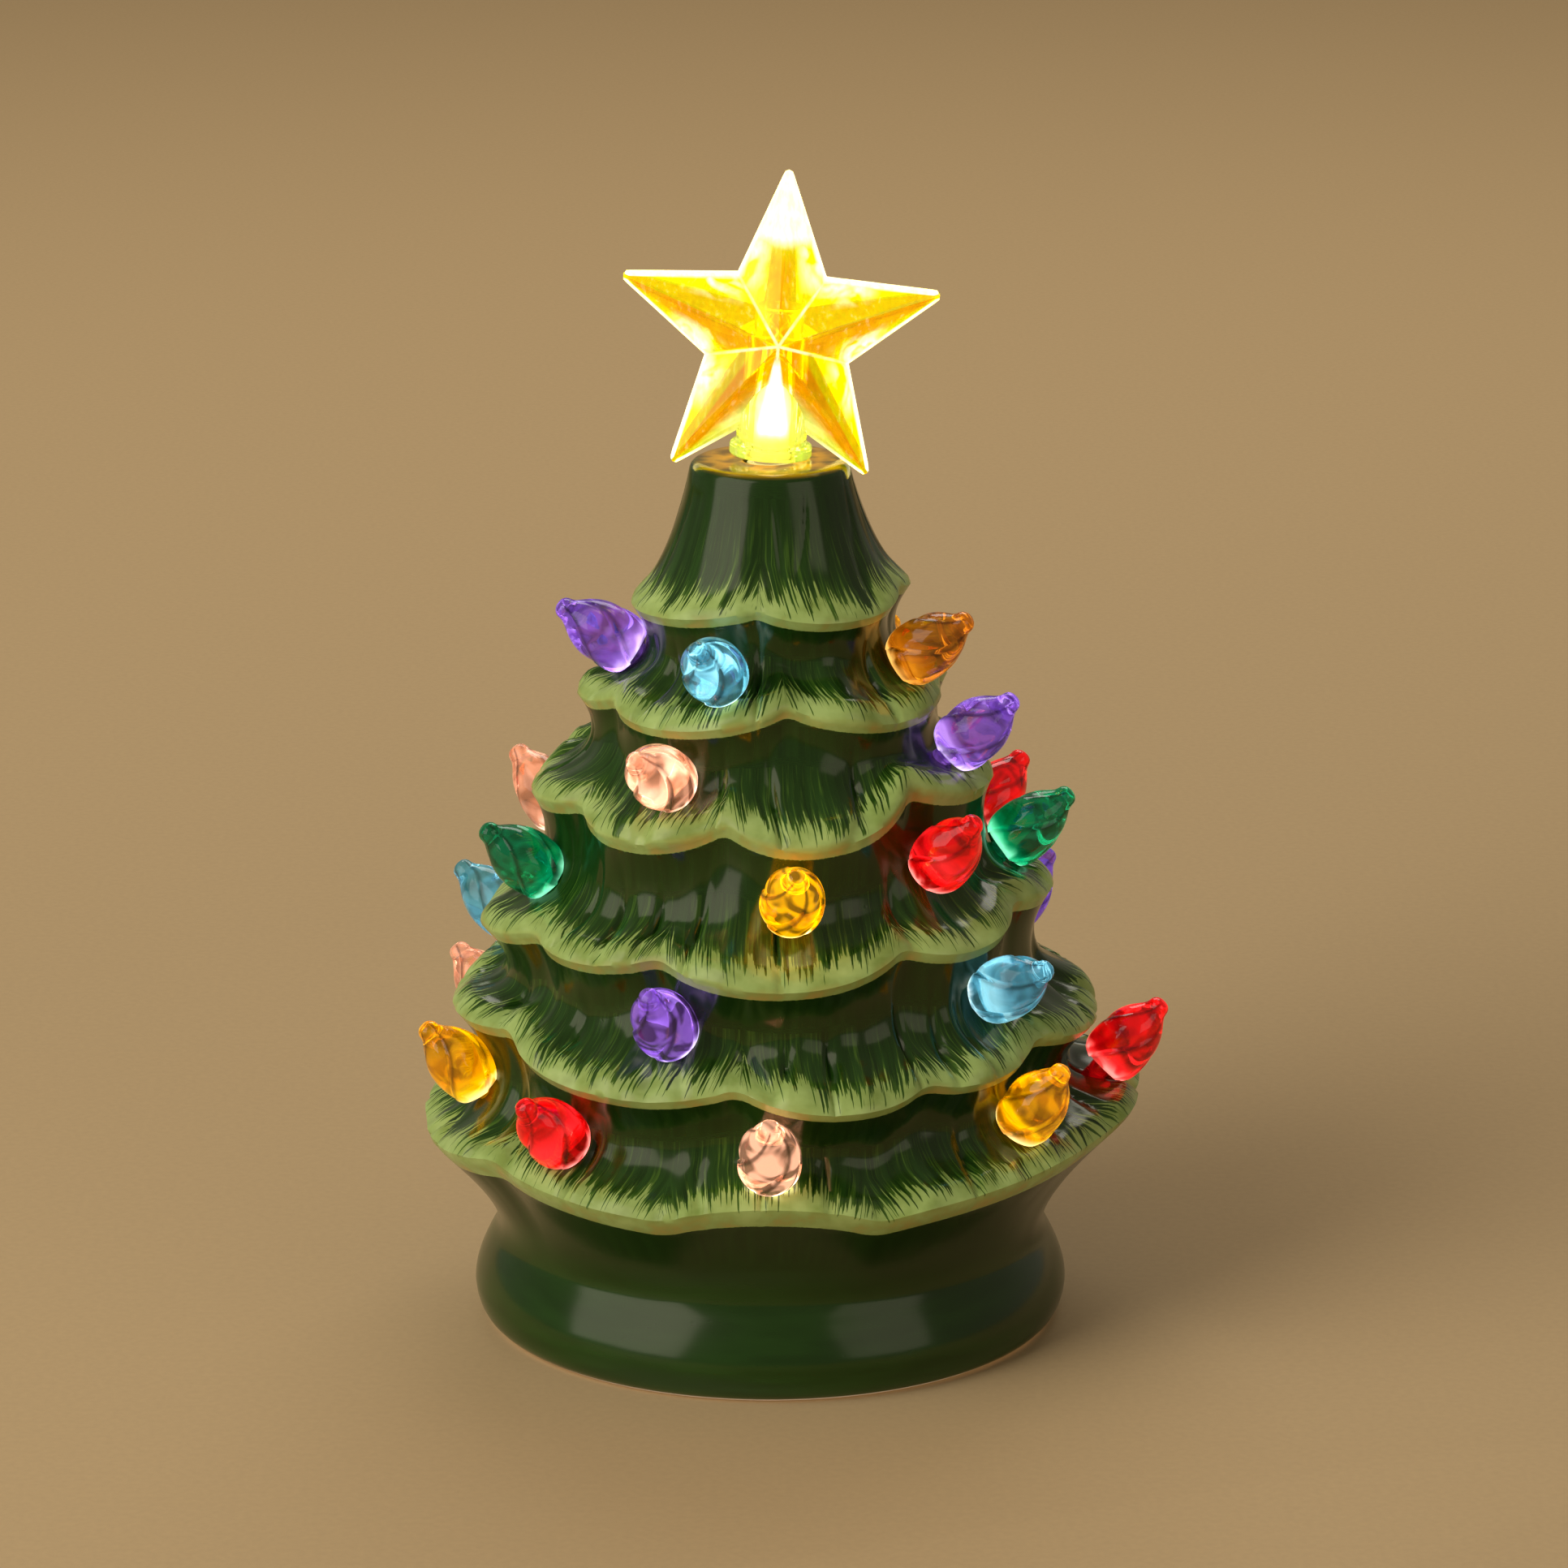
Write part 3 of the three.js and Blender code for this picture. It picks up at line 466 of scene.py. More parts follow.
    def painted_star_light_strength(self, w: Wiring, place: Socket) -> Socket:
        """Strength of the painted light of the star that pools on the flat top, in soft patches.

        Args:
            w: The glaze's shader nodes.
            place: Object coordinates.

        Returns:
            The strength.
        """
        parts = w.node("SeparateXYZ", {0: place}).outputs
        out = w.distance(parts[0], parts[1])
        patches = w.spread(w.cloud(place, 330.0, 1.0), 0.38, 0.6, 0.35, 1.0)
        level = w.spread(parts[2], self.painted_light_height, self.painted_light_height + 0.5 * MM)
        return w.times(w.spread(out, *self.painted_light_reach, 0.75, 0.15), patches, level)


@dataclass(frozen=True)
class ClearPlastic:
    """Clear tinted plastic of a bulb, lit from its peg."""

    name: str
    tint: Colour
    glow: Colour
    body: float

    def material(self) -> Finish:
        """Builds the plastic: brightest at its seat, with painted shade in darker lines along the petals'
        edges.

        Returns:
            The material.
        """
        w = Wiring(self.name)
        # Painted shade: along the petals' seams the colour is darker and the glow weaker.
        fold = w.attribute("fold")
        bent = w.cloud(w.place(), 230.0, 0.5, 2.0)
        body = w.times(w.spread(bent, 0.41, 0.6, 0.2, 1.3), self.body, w.spread(fold, 0.0, 1.0, 1.0, 0.2))
        hot = w.spread(w.times(w.attribute("glow"), w.spread(bent, 0.35, 0.6, 0.6, 1.15)), 0.3, 1.0)
        # The lit attribute scales the glow, with painted light that brightens bulbs looking to the front.
        return w.surface(
            Base_Color=w.blend(w.times(fold, 0.8), self.tint, toned(self.tint, 0.3)),
            Transmission_Weight=0.9, Roughness=0.03, IOR=1.47,
            Emission_Color=w.blend(hot, self.tint, self.glow),
            Emission_Strength=w.times(w.plus(body, hot), w.attribute("lit")),
        )


@dataclass(frozen=True)
class ArmPlace:
    """Where a point of the star lies: from the star's middle, and on the arm that it belongs to."""

    across: Socket
    up: Socket
    out: Socket
    arm: Socket
    lean: Socket
    along: Socket
    share: Socket
    edge: Socket
    top: Socket


@dataclass(frozen=True)
class LitStar:
    """Clear yellow plastic of the star, full of the light of its lamp.

    The star_place attribute gives a point's place in the star's own frame, in millimetres from its middle.
    """

    reach: float
    valley: float
    tint: Colour = (1.0, 0.6, 0.0)
    clear: Colour = (1.0, 0.88, 0.35)
    lemon: Colour = (0.2, 0.36, 0.0)
    amber: Colour = (0.3, 0.09, 0.0)
    white: Colour = (1.5, 1.45, 1.05)
    # Painted highlights: white at the top arm's tip and near the valleys' outer corners.
    white_tip: Point = (12.4, 14.4)
    white_corner: float = 10.5
    flame_foot: float = -13.0
    flame_tip: float = -1.2
    flame_half_width: float = 2.6

    def material(self) -> Finish:
        """Builds the plastic, with painted light: amber by the ridges, painted highlights near white at its
        rims, valleys and top tip.

        Returns:
            The material.
        """
        w = Wiring("lit_star_plastic")
        at = self.arm_place(w)
        patches = w.cloud(w.place(), 190.0, 1.5, 1.4)
        fine = w.cloud(w.stretched(w.place(), (1.0, 1.0, 0.4)), 1300.0, 3.0)
        hub = w.attribute("hub")
        flame = self.flame(w, at)
        # Painted highlights and the lamp's painted image turn these places white in the glow.
        hot = w.largest(w.times(self.painted_highlights(w, at, patches), w.minus(1.0, hub)), flame)
        dim = w.spread(w.times(hub, w.minus(1.0, flame)), 0.0, 1.0, 1.0, 0.5)
        band = w.times(self.bands(w, at, patches), w.spread(at.edge, 0.9, 1.0, 1.0, 0.0))
        colour = w.blend(band, self.lemon, self.amber)
        # White specks in the glow: painted glints.
        colour = w.blend(w.spread(fine, 0.6, 0.75, 0.0, 0.08), colour, self.white)
        return w.surface(
            Base_Color=w.blend(hub, self.tint, self.clear), Transmission_Weight=0.92, Roughness=0.04,
            IOR=1.36, Specular_IOR_Level=0.15, Emission_Color=w.blend(hot, colour, self.white),
            Emission_Strength=w.times(w.spread(fine, 0.35, 0.68, 0.75, 1.15), dim),
        )

    def arm_place(self, w: Wiring) -> ArmPlace:
        """Finds each point's arm and its place on that arm.

        Args:
            w: The star's shader nodes.

        Returns:
            The place.
        """
        parts = w.node("SeparateXYZ", {0: w.attribute("star_place", "Vector")}).outputs
        across, up = parts[0], parts[2]
        out = w.distance(across, up)
        turn = w.math("ARCTAN2", across, up)
        arm = w.math("ROUND", w.math("DIVIDE", turn, ARM_TURN))
        lean = w.minus(turn, w.times(arm, ARM_TURN))
        along = w.times(out, w.math("COSINE", lean))
        wide = math.sin(ARM_TURN / 2) * self.valley / (self.reach - math.cos(ARM_TURN / 2) * self.valley)
        half = w.largest(w.times(w.minus(self.reach, along), wide), 0.3)
        share = w.math("DIVIDE", w.times(out, w.math("SINE", lean)), half)
        top = w.spread(w.unsigned(arm), 0.4, 0.6, 1.0, 0.0)
        return ArmPlace(across, up, out, arm, lean, along, share, w.unsigned(share), top)

    def bands(self, w: Wiring, at: ArmPlace, patches: Socket) -> Socket:
        """Draws the amber bands of painted light: on the lower side of each arm, and along the middle of the
        top one.

        Args:
            w: The star's shader nodes.
            at: The place on the arm.
            patches: Clouds that weaken the bands.

        Returns:
            The bands' strength.
        """
        steep = w.times(w.spread(w.unsigned(at.arm), 1.4, 1.6), 0.22)
        side = w.plus(w.times(at.share, w.math("SIGN", at.arm)), steep)
        band = w.times(w.spread(side, -0.03, 0.03), w.spread(side, 0.5, 0.72, 1.0, 0.0, True))
        middle = w.spread(w.unsigned(at.across), 0.5, 1.6, 1.0, 0.0, True)
        middle = w.times(middle, w.spread(at.along, 13.0, 9.0))
        band = w.plus(w.times(band, w.minus(1.0, at.top)), w.times(middle, at.top))
        return w.times(band, w.spread(patches, 0.36, 0.5, 0.8, 1.0))

    def painted_highlights(self, w: Wiring, at: ArmPlace, patches: Socket) -> Socket:
        """Draws the painted highlights: white places at the creases, rims, the top arm's tip and the
        valleys' outer corners.

        Args:
            w: The star's shader nodes.
            at: The place on the arm.
            patches: Clouds that break them up.

        Returns:
            Their strength.
        """
        crease = w.times(at.out, w.math("SINE", w.minus(ARM_TURN / 2, w.unsigned(at.lean))))
        crease = w.times(w.spread(crease, 0.1, 0.28, 0.6, 0.0), w.spread(patches, 0.35, 0.6, 0.3, 1.0))
        tip = w.times(at.top, w.spread(at.along, *self.white_tip, smooth=True))
        near = w.spread(w.unsigned(w.minus(at.along, self.white_corner)), 1.0, 5.0, 1.0, 0.0, True)
        corner = w.times(w.spread(at.edge, 0.35, 0.8), near, w.spread(patches, 0.42, 0.56))
        return w.largest(crease, w.spread(at.edge, 0.86, 0.96), tip, corner)

    def flame(self, w: Wiring, at: ArmPlace) -> Socket:
        """Draws the lamp's image in the hub, like the flame of a candle.

        Args:
            w: The star's shader nodes.
            at: The place on the arm.

        Returns:
            The image's strength.
        """
        foot, tip = self.flame_foot, self.flame_tip
        width = w.spread(at.up, foot, tip, self.flame_half_width, 0.3)
        inside = w.spread(w.math("DIVIDE", w.unsigned(at.across), width), 0.55, 1.0, 1.0, 0.0, True)
        above = w.spread(at.up, foot - 1.0, foot + 0.6, smooth=True)
        return w.times(inside, above, w.spread(at.up, tip - 2.5, tip, 1.0, 0.0, True))


@dataclass(frozen=True)
class Glow:
    """A lit lamp body."""

    name: str
    colour: Colour
    strength: float
    foot: float = 0.0

    def material(self) -> Finish:
        """Builds the glowing resin, deeper in colour at its edges and dim below the height of its foot.

        Returns:
            The material.
        """
        w = Wiring(self.name)
        grain = w.spread(w.cloud(w.place(), 700.0, 1.0), 0.3, 0.7, 0.85, 1.15)
        height = w.node("SeparateXYZ", {0: w.place()}).outputs[2]
        lit = w.spread(height, self.foot, self.foot + 3.0 * MM, 0.12, 1.0, True) if self.foot else 1.0
        edge = w.node("LayerWeight", {"Blend": 0.5}).outputs["Facing"]
        deep = tuple(part ** 2.2 for part in self.colour)
        return w.surface(
            Base_Color=(*self.colour, 1.0), Roughness=0.15,
            Emission_Color=w.blend(w.spread(edge, 0.35, 0.85), self.colour, deep),
            Emission_Strength=w.times(grain, lit, self.strength),
        )


@dataclass(frozen=True)
class MouldedPlastic:
    """Moulded plastic with a fine spark-eroded grain and handling wear."""

    name: str
    colour: Colour
    roughness: float = 0.45
    grain: float = 0.00004

    def material(self) -> Finish:
        """Builds the plastic on Object coordinates.

        Returns:
            The material.
        """
        w = Wiring(self.name)
        fine = w.cloud(w.place(), 3200.0, 3.0)
        broad = w.cloud(w.place(), 120.0, 3.0)
        colour = w.blend(w.spread(broad, 0.35, 0.7), self.colour, toned(self.colour, 1.25))
        rough = w.spread(broad, 0.3, 0.7, self.roughness - 0.08, self.roughness + 0.08)
        return w.surface(Base_Color=colour, Roughness=rough, IOR=1.5, Normal=w.bump(fine, self.grain))


@dataclass(frozen=True)
class PlatedMetal:
    """Nickel-plated steel with fine rubbing marks."""

    name: str
    colour: Colour = (0.62, 0.62, 0.6)
    roughness: float = 0.24

    def material(self) -> Finish:
        """Builds the metal on Object coordinates.

        Returns:
            The material.
        """
        w = Wiring(self.name)
        marks = w.cloud(w.stretched(w.place(), (1.0, 5.0, 1.0)), 1800.0, 3.0)
        rough = w.spread(marks, 0.3, 0.7, self.roughness - 0.08, self.roughness + 0.12)
        colour = w.blend(w.spread(marks, 0.3, 0.75), self.colour, toned(self.colour, 0.8))
        return w.surface(Base_Color=colour, Metallic=1.0, Roughness=rough, Normal=w.bump(marks, 0.00001))


@dataclass(frozen=True)
class CellWrap:
    """The shrink wrap of a plain cell: a dark sleeve with a pale band near one end."""

    sleeve: Colour = (0.03, 0.035, 0.04)
    band: Colour = (0.55, 0.42, 0.2)
    band_at: float = 0.0125

    def material(self) -> Finish:
        """Builds the wrap across the cells' length, which lies along X.

        Returns:
            The material.
        """
        w = Wiring("cell_wrap")
        along = w.node("SeparateXYZ", {0: w.place()}).outputs[0]
        scuffs = w.cloud(w.place(), 900.0, 3.0)
        edge = w.spread(along, self.band_at - 0.00005, self.band_at + 0.00005)
        colour = w.blend(edge, self.sleeve, self.band)
        colour = w.blend(w.spread(scuffs, 0.55, 0.8, 0.0, 0.35), colour, (0.3, 0.3, 0.3))
        return w.surface(Base_Color=colour, Roughness=w.spread(scuffs, 0.3, 0.7, 0.22, 0.4))


@dataclass(frozen=True)
class BoardLaminate:
    """Green circuit laminate with copper tracks under the mask."""

    mask: Colour = (0.012, 0.11, 0.035)
    track: Colour = (0.03, 0.2, 0.06)

    def material(self) -> Finish:
        """Builds the laminate with tracks a few tenths of a millimetre wide.

        Returns:
            The material.
        """
        w = Wiring("board_laminate")
        bricks = w.node("TexBrick", {"Vector": w.place(), "Scale": 420.0, "Mortar Size": 0.12}, offset=0.35)
        colour = w.blend(bricks.outputs["Fac"], self.track, self.mask)
        weave = w.cloud(w.place(), 4000.0, 1.0)
        return w.surface(Base_Color=colour, Roughness=0.35, Normal=w.bump(weave, 0.00002))


# Ceramic tree


@dataclass(frozen=True)
class Tier:
    """One tier of branches: its mean hem, the neck under it, and its lobes.

    A lobe is (notch angle, how far the notch lies outside and above the mean hem, the lobe's reach and
    drop), in degrees from the front and millimetres.
    """

    hem_radius: float
    hem_height: float
    neck_radius: float
    neck_height: float
    lobes: tuple[tuple[float, float, float, float, float], ...]
    fullness: float = 2.3

    def hem(self, angles: np.ndarray, softness: int) -> tuple[np.ndarray, np.ndarray, np.ndarray]:
        """Radius and height of the hem's lower edge, and the place along its lobe.

        Args:
            angles: Evenly spaced angles from the front, in degrees.
            softness: Over how many angles to each side a notch is rounded.

        Returns:
            Radii, heights and the share of the way along the lobe, from -1 to 1, for each angle.
        """
        table = np.array(self.lobes)
        start = table[0, 0]
        turn = (angles - start) % 360 + start
        at = np.searchsorted(table[:, 0], turn, side="right") - 1
        after = (at + 1) % len(table)
        ends = np.append(table[1:, 0], start + 360)
        along = (turn - table[at, 0]) / (ends[at] - table[at, 0])
        swell = 1 - np.abs(2 * along - 1) ** self.fullness
        out = table[at, 1] + (table[after, 1] - table[at, 1]) * along + table[at, 3] * swell
        up = table[at, 2] + (table[after, 2] - table[at, 2]) * along - table[at, 4] * swell
        kernel = np.ones(2 * softness + 1) / (2 * softness + 1)
        wrapped = [np.pad(row, softness, mode="wrap") for row in (out, up)]
        out, up = (np.convolve(row, kernel, mode="valid") for row in wrapped)
        return self.hem_radius + out, self.hem_height + up, 2 * along - 1


@dataclass
class CeramicTree:
    """The hollow glazed tree, cast in one piece with its base."""

    top_height: float = 123.8
    top_radius: float = 11.2
    top_edge: float = 1.5
    post_hole: float = 3.7
    hole_edge: tuple[Point, ...] = ((0.0, 0.4), (0.15, 0.1), (0.5, 0.0))
    shoulder: Point = (1.9, 3.9)
    lip: Point = (0.9, 1.7)
    under_turn: Point = (0.4, 0.68)
    sag: float = 0.4
    top_sag: float = 0.6
    belly: Point = (42.2, 4.6)
    foot_turn: tuple[Point, ...] = (
        (42.05, 3.4), (41.7, 2.2), (41.2, 1.25), (40.6, 0.62), (40.1, 0.3), (39.7, 0.08), (39.3, 0.0),
    )
    seat_radius: float = 35.6
    seat_height: float = 3.1
    bore_radius: float = 33.2
    bore_height: float = 18.0
    wall: float = 3.8
    hem_wall: float = 7.0
    columns: int = 480
    tier_rows: int = 25
    base_rows: int = 20
    neck_fill: float = 8.0
    neck_passes: int = 24
    groove_depth: float = 0.9
    wave_depth: float = 1.35
    top_relief: float = 0.25
    wave_length: float = 7.5
    groove_length: float = 9.0
    groove_width: float = 0.12
    relief_stretch: float = 0.25
    relief_shift: float = 60.0
    relief_fade: float = 4.0
    relief_lift: float = 0.6
    notch_softness: int = 3
    mean_lobe: Point = (1.5, 1.2)
    neck_follow: Point = (0.35, 0.5)
    neck_pull: float = 0.9
    under_fade: float = 60.0
    fan_turn: float = 0.4
    fan_height: float = 9.0
    brush_shift: float = 90.0
    ring_brush: Triple = (3.0, 9.0, 4.0)
    slope_points: int = 6
    edge_steps: int = 5
    top_rise: float = 30.0
    base_rise: float = 40.0
    tiers: tuple[Tier, ...] = (
        Tier(17.7, 104.5, 15.6, 98.6, (
            (-108, 0.5, -1.3, 1.8, 1.4), (-6, -0.3, 0.5, 2, 1.9), (78, 0.5, 0.7, 2, 0.9),
            (138, -0.1, 0.2, 2.2, 1.9), (198, -0.3, -0.1, 2.2, 1.9))),
        Tier(23.4, 92.4, 22.8, 85.6, (
            (-120, 0.2, 0.8, 3.2, 2.6), (-66, 0.2, -1.8, 3, 2.2), (6, -0.2, 0.5, 2.6, 3.2),
            (90, -0.5, 0.1, 3.2, 2.6), (138, -0.1, 0.1, 3.2, 2.6), (192, -0.1, 0.1, 3.2, 2.6))),
        Tier(29.5, 79, 29, 69.2, (
            (-108, 0.5, 0, 3.4, 2.4), (-60, 0.7, -1.6, 2.8, 3.2), (-12, 0.1, -0.9, 3.4, 4.2),
            (42, -0.9, 2, 3.4, 2.2), (96, -1.1, 1.5, 3.4, 2.8), (150, -0.1, 0, 3.6, 2.8),
            (198, 0.1, 0, 3.6, 2.8))),
        Tier(37, 61.2, 34.6, 53.2, (
            (-108, -0.4, -0.6, 3.8, 2.9), (-60, 0.2, -1.8, 2.2, 1.6), (-24, 0.2, -0.6, 4.2, 3.2),
            (30, -0.2, 0.2, 2.8, 2.4), (66, -0.2, 1.8, 2.9, 1.2), (108, 0, 1.2, 3.6, 2.8),
            (156, 0, 0, 3.6, 2.8), (204, 0, 0, 3.6, 2.8))),
        Tier(42.2, 46, 38.2, 38.4, (
            (-108, -1.2, 2.2, 3.6, 2), (-60, -0.4, 0.4, 3.2, 3), (-6, 0.2, -1.4, 3.4, 2.4),
            (30, 0.6, -2.4, 2, 1.8), (60, 0.2, -0.8, 4, 2.4), (108, 0.2, 0, 3.6, 2.6),
            (156, -0.2, 1, 3.6, 2.6), (204, -0.6, 2, 3.6, 2.6))),
        Tier(48, 30, 36.8, 16.3, (
            (-108, -1.4, 2.2, 2.6, 3.2), (-54, -0.4, -1.2, 1.4, 0), (-18, -0.2, -4.3, -0.6, -2.4),
            (18, 0, -4.3, 0.6, -0.8), (66, 1.6, -1.2, 3.4, -1.2), (108, 1, 2, 3.2, 2.4),
            (156, -0.6, 2, 3.2, 2.4), (198, -1.2, 2, 3.2, 2.4))),
    )
    radii: list[np.ndarray] = field(default_factory=list)
    heights: list[np.ndarray] = field(default_factory=list)
    rises: list[np.ndarray] = field(default_factory=list)
    brushes: list[np.ndarray] = field(default_factory=list)
    necks: list[int] = field(default_factory=list)

    def build(self, glaze: Finish) -> Piece:
        """Builds the tree, glazed outside and bare inside.

        Args:
            glaze: The finish.

        Returns:
            The piece.
        """
        self.lay_top()
        for number in range(len(self.tiers)):
            self.lay_tier(number)
        self.lay_base()
        self.fill_necks()
        outside = len(self.radii)
        self.lay_hollow()
        radii, heights = np.array(self.radii), np.array(self.heights)
        mesh = tube_grid(len(radii), self.columns, True)
        rows, turns = grid_place(mesh, self.columns)
        angles = self.angles()[turns]
        radius, height = radii[rows, turns], heights[rows, turns]
        move_points(mesh, np.stack([radius * np.sin(angles), -radius * np.cos(angles), height], axis=1))
        piece = finished(mesh, "ceramic_tree_glazed", glaze, 50.0)
        rise = np.array(self.rises)[rows, turns]
        brush = np.array(self.brushes)[rows, :, turns]
        bare = (rows >= outside) | (height < 0.35)
        give_attribute(piece, "hem_rise", rise)
        give_attribute(piece, "brush", brush)
        give_attribute(piece, "bare", bare.astype(float))
        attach(piece, Body.LAMP.value)
        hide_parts("ceramic_tree")
        LOG.info("ceramic_tree_glazed: %d faces", len(piece.data.polygons))
        return piece

    def angles(self) -> np.ndarray:
        """The angle of each column from the front, in radians."""
        return np.arange(self.columns) / self.columns * math.tau

    def lay_row(self, radius: object, height: object, rise: object, brush: tuple | None = None) -> None:
        """Adds a row round the tree.

        Args:
            radius: Its radius, a number or one for each column.
            height: Its height.
            rise: How far it lies above its hem, along the slope.
            brush: Where its brush strokes lie, or None for strokes that run round the tree.
        """
        angles = self.angles()
        if brush is None:
            turn, up, out = self.ring_brush
            along = up * np.mean(height) + out * np.mean(radius)
            brush = (turn * np.sin(angles), turn * np.cos(angles), along)
        for rows, value in ((self.radii, radius), (self.heights, height), (self.rises, rise)):
            rows.append(np.broadcast_to(np.asarray(value, float), (self.columns,)))
        self.brushes.append(np.stack([np.broadcast_to(part, (self.columns,)) for part in brush]))

    def lay_top(self) -> None:
        """Lays the flat top, from the post's hole to its round edge."""
        edge, top = self.top_edge, self.top_height
        rim = self.top_radius - edge
        for out, down in self.hole_edge:
            self.lay_row(self.post_hole + out, top - down, self.top_rise)
        self.lay_row(rim - edge, top, self.top_rise)
        for step in range(self.edge_steps):
            turn = step / self.edge_steps * math.pi / 2
            self.lay_row(rim + edge * math.sin(turn), top - edge + edge * math.cos(turn), self.top_rise)

    def neck(self, number: int, hem: tuple[np.ndarray, ...]) -> tuple[np.ndarray, np.ndarray]:
        """Finds the neck under a tier, which follows its hem more gently.

        Args:
            number: The tier's number, or -1 for the top's edge.
            hem: Radius, height and place along the lobe of the tier's hem.

        Returns:
            The neck's radius and height in each column.
        """
        if number < 0:
            flat = np.ones(self.columns)
            return flat * self.top_radius, flat * (self.top_height - self.top_edge)
        tier = self.tiers[number]
        if number == len(self.tiers) - 1:
            flat = np.ones(self.columns)
            return flat * tier.neck_radius, flat * tier.neck_height
        return (
            tier.neck_radius + self.neck_follow[0] * (hem[0] - tier.hem_radius - self.mean_lobe[0]),
            tier.neck_height + self.neck_follow[1] * (hem[1] - tier.hem_height + self.mean_lobe[1]),
        )

    def lay_tier(self, number: int) -> None:
        """Lays one tier: its sagging slope, round shoulder, lip and underside.

        Args:
            number: The tier's number from the top.
        """
        degrees = np.degrees(self.angles())
        soft = self.notch_softness
        hem = self.tiers[number].hem(degrees, soft)
        above = self.neck(number - 1, self.tiers[number - 1].hem(degrees, soft) if number else hem)
        below = self.neck(number, hem)
        radius, height, along = hem
        shoulder = (radius - self.shoulder[0], height + self.shoulder[1])
        sag = self.sag if number else self.top_sag
        points = []
        for share in np.linspace(0.0, 1.0, self.slope_points):
            down = share + sag * share * (1 - share)
            points.append((
                above[0] + (shoulder[0] - above[0]) * share,
                above[1] + (shoulder[1] - above[1]) * down,
            ))
        lip = (radius - self.lip[0], height)
        under = (
            below[0] + (lip[0] - below[0]) * self.under_turn[0],
            below[1] + (lip[1] - below[1]) * self.under_turn[1],
        )
        points += [(radius, height + self.lip[1]), lip, under, below]
        curve = self.curve(np.array(points))
        lip_row = self.lip_row(curve, lip)
        steps = np.hypot(*np.diff(curve, axis=0).transpose(1, 0, 2))
        run = np.concatenate([np.zeros((1, self.columns)), np.cumsum(steps, axis=0)])
        above_lip = run[lip_row] - run
        rise = np.where(above_lip < 0, -self.under_fade * above_lip, above_lip)
        for row in range(1, len(curve) - 1 if number == len(self.tiers) - 1 else len(curve)):
            fade = self.relief_fade
            share = np.clip(run[row] / fade, 0, 1) * np.clip(above_lip[row] / fade, 0, 1)
            relief = share * self.relief(number, radius, run[row])
            near_hem = np.clip(self.fan_height - rise[row], 0, self.fan_height)
            fan = self.angles() + self.fan_turn * along * near_hem / radius
            reach = self.tiers[number].hem_radius
            brush = (reach * np.sin(fan), -reach * np.cos(fan), above_lip[row] + self.brush_shift * number)
            self.lay_row(curve[row, 0] + relief, curve[row, 1] + self.relief_lift * relief, rise[row], brush)
        self.necks.append(len(self.radii) - 1)

    def curve(self, points: np.ndarray) -> np.ndarray:
        """Draws a smooth curve through control points of (radius, height) for every column.

        Args:
            points: Control points, shaped (points, 2, columns).

        Returns:
            The curve's points, shaped (rows, 2, columns).
        """
        ends = np.concatenate([2 * points[:1] - points[1:2], points, 2 * points[-1:] - points[-2:-1]])
        spans = len(points) - 1
        rows = []
        for step in np.linspace(0, spans, self.tier_rows + 1):
            at = min(int(step), spans - 1)
            t = step - at
            p0, p1, p2, p3 = ends[at:at + 4]
            rows.append(0.5 * (
                2 * p1 + (p2 - p0) * t + (2 * p0 - 5 * p1 + 4 * p2 - p3) * t ** 2
                + (3 * p1 - p0 - 3 * p2 + p3) * t ** 3
            ))
        return np.array(rows)

    def lip_row(self, curve: np.ndarray, lip: tuple[np.ndarray, np.ndarray]) -> int:
        """The row of a tier's curve that lies at the lip of its hem."""
        far = np.hypot(curve[:, 0] - lip[0], curve[:, 1] - lip[1]).mean(axis=1)
        return int(np.argmin(far))

    def relief(self, number: int, radius: np.ndarray, run: np.ndarray) -> np.ndarray:
        """Soft waves and carved grooves that run down a tier, in millimetres out from its slope.

        Args:
            number: The tier's number.
            radius: The hem's radius in each column.
            run: How far down the tier the row lies in each column.

        Returns:
            The relief in each column.
        """
        values = []
        for angle, reach, down in zip(self.angles(), radius, run):
            height = self.relief_shift * number + self.relief_stretch * down
            at = Vector((reach * math.sin(angle), -reach * math.cos(angle), height))
            wave = noise.noise(at / self.wave_length)
            crossing = abs(noise.noise(at / self.groove_length + Vector((9, 4, 2))))
            groove = max(0.0, 1 - crossing / self.groove_width)
            values.append(self.wave_depth * wave - self.groove_depth * groove ** 1.5)
        return np.array(values) * (1.0 if number else self.top_relief)

    def lay_base(self) -> None:
        """Lays the base: its round belly, the turn to the foot and the foot itself."""
        last = self.tiers[-1]
        out, drop = self.belly[0] - last.neck_radius, last.neck_height - self.belly[1]
        for step in range(self.base_rows + 1):
            turn = step / self.base_rows * math.pi / 2
            height = self.belly[1] + drop * (1 - math.sqrt(2) * math.sin(turn / 2))
            self.lay_row(last.neck_radius + out * math.sin(turn), height, self.base_rise)
        for radius, height in self.foot_turn:
            self.lay_row(radius, height, self.base_rise)

    def fill_necks(self) -> None:
        """Rounds the inner corner at each neck, where glaze gathers."""
        profile = np.stack([np.array(self.radii), np.array(self.heights)])
        rows = np.arange(profile.shape[1])
        near = np.min([np.abs(rows - neck) for neck in self.necks], axis=0)
        weight = np.clip(1 - near / self.neck_fill, 0, 1)[None, 1:-1, None]
        for _ in range(self.neck_passes):
            middle = (profile[:, 2:] + profile[:, :-2]) / 2
            profile[:, 1:-1] += self.neck_pull * weight * (middle - profile[:, 1:-1])
        self.radii, self.heights = list(profile[0]), list(profile[1])

